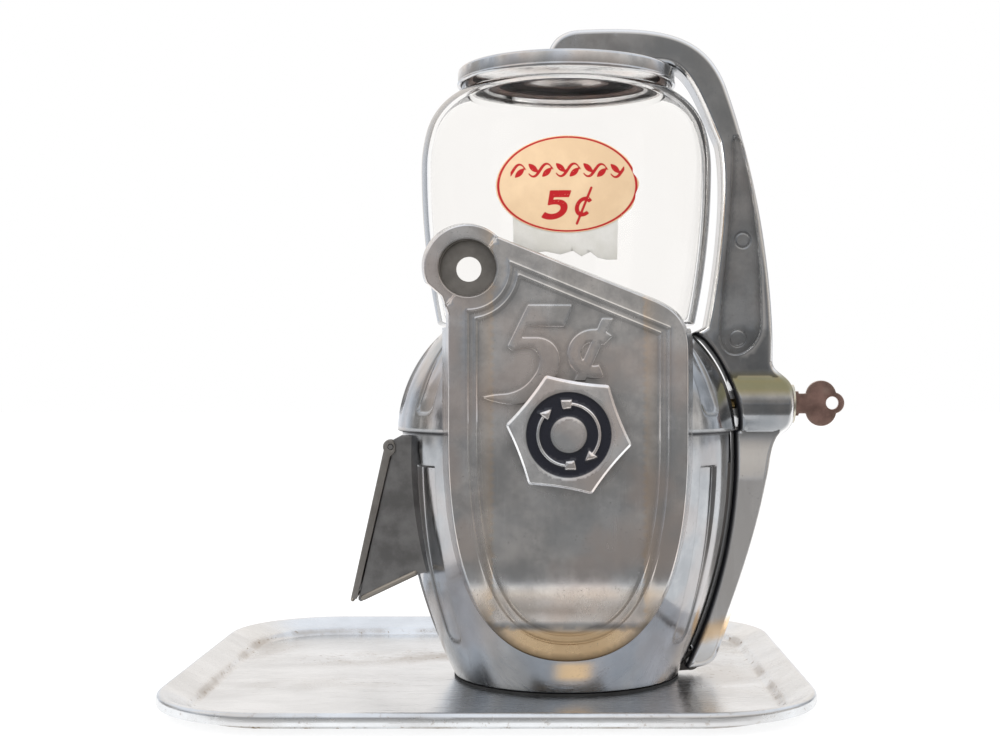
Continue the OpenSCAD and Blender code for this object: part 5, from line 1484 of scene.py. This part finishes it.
def studio_floor():
    """A pale floor that keeps the object's shadow and shows white where nothing shades it."""
    size = 6.0
    mesh = bpy.data.meshes.new("floor")
    mesh.from_pydata([(-size, -size, 0), (size, -size, 0), (size, size, 0), (-size, size, 0)],
                     [], [(0, 1, 2, 3)])
    floor = bpy.data.objects.new("floor", mesh)
    bpy.context.scene.collection.objects.link(floor)
    floor.location.z = cad_box[0].z - 0.0002
    paint = bpy.data.materials.new("floor_paint")
    paint.use_nodes = True
    paint.node_tree.nodes.clear()
    n = Nodes(paint.node_tree)
    n.place = n.node("TexCoord", out="Object")
    # Metal sees the sheet end a little way in front of the tray
    ended = n.node("SeparateXYZ", None, n.place, out="Y").ramp(-0.150, -0.138, 1.0, 0.0) \
        * n.node("LightPath", out="Is Glossy Ray") * (1 - n.node("LightPath", out="Is Transmission Ray"))
    matt = n.node("BsdfDiffuse", None, n.mix(ended, grey(0.34), (0.10, 0.095, 0.09, 1.0)))
    glow = n.node("Emission", None, grey(1.0), n.shown() * 0.78 * (1 - ended * 0.80))
    n.finish(n.node("AddShader", None, matt, glow))
    mesh.materials.append(paint)


def studio_room():
    """White all round; metal sees it dimmer and streaked on the camera's side."""
    world = bpy.data.worlds.new("studio")
    bpy.context.scene.world = world
    world.use_nodes = True
    world.node_tree.nodes.clear()
    n = Nodes(world.node_tree)
    n.place = n.node("TexCoord", out="Generated")
    across = n.node("SeparateXYZ", None, n.place, out="X")
    towards = n.node("SeparateXYZ", None, n.place, out="Y")
    streak = n.noise(2.6, 3.0, 0.55, n.stretched(1.6, 1.6, 0.35))
    bands = n.noise(4.2, 2.0, 0.5, n.stretched(1.6, 1.6, 0.10)).ramp(0.46, 0.54)
    glint = n.noise(5.3, 1.0, 0.5, n.stretched(1.6, 1.6, 0.08)).ramp(0.575, 0.60)
    behind = towards.ramp(-0.1, 0.5)
    wing = across.math("ABSOLUTE", across).ramp(0.42, 0.80)
    above = n.node("SeparateXYZ", None, n.place, out="Z").ramp(0.16, 0.60)
    lit = towards.ramp(-1.0, -0.1, 0.45, 1.0) * (streak.ramp(0.38, 0.60, 0.55, 1.08) * (1 - behind) + behind)
    lit = lit * (1 - wing * (1 - bands.ramp(0.0, 1.0, 0.30, 0.72)) * (1 - glint))
    lit = lit + (1.05 - lit) * above
    shade = n.mix(n.noise(1.7, 2.0, 0.5).ramp(0.42, 0.58), (0.93, 0.97, 1.04, 1.0), (1.04, 0.985, 0.93, 1.0))
    plain = n.node("LightPath", out="Is Camera Ray")
    plain = plain.math("MAXIMUM", plain, n.node("LightPath", out="Is Transmission Ray"))
    n.finish(n.node("Background", None, n.mix(plain, shade, grey(1.0)), plain + (1 - plain) * lit), "World")


def lamp(name, place, aim, size, power):
    """A soft lamp that neither the camera nor the metal sees."""
    data = bpy.data.lights.new(name, "AREA")
    data.shape = "RECTANGLE"
    data.size, data.size_y = size
    data.energy = power
    made = bpy.data.objects.new(name, data)
    made.location = place
    made.rotation_mode = "QUATERNION"
    made.rotation_quaternion = (Vector(aim) - Vector(place)).to_track_quat("-Z", "Y")
    made.visible_glossy = False
    made.visible_camera = False
    bpy.context.scene.collection.objects.link(made)


def camera():
    """A level camera in front, as far off as the photograph's."""
    data = bpy.data.cameras.new("view")
    data.sensor_width = 36.0
    data.lens = 53.28
    data.shift_x, data.shift_y = -0.050, 0.009
    data.clip_start, data.clip_end = 0.01, 50
    made = bpy.data.objects.new("view", data)
    made.location = (-0.0072, -0.657, 0.1298)
    made.rotation_euler = (math.pi / 2, 0, 0)
    bpy.context.scene.collection.objects.link(made)
    bpy.context.scene.camera = made


studio_floor()
studio_room()
lamp("top_fill", (-0.25, -0.35, 1.0), (0, 0, 0.12), (0.7, 0.7), 4.5)
lamp("left_fill", (-0.9, -0.9, 0.6), (0, 0, 0.14), (0.8, 0.8), 6.0)
lamp("right_fill", (0.9, -0.8, 0.5), (0, 0, 0.14), (0.6, 0.8), 4.0)
camera()
bpy.context.scene.view_settings.view_transform = "Standard"
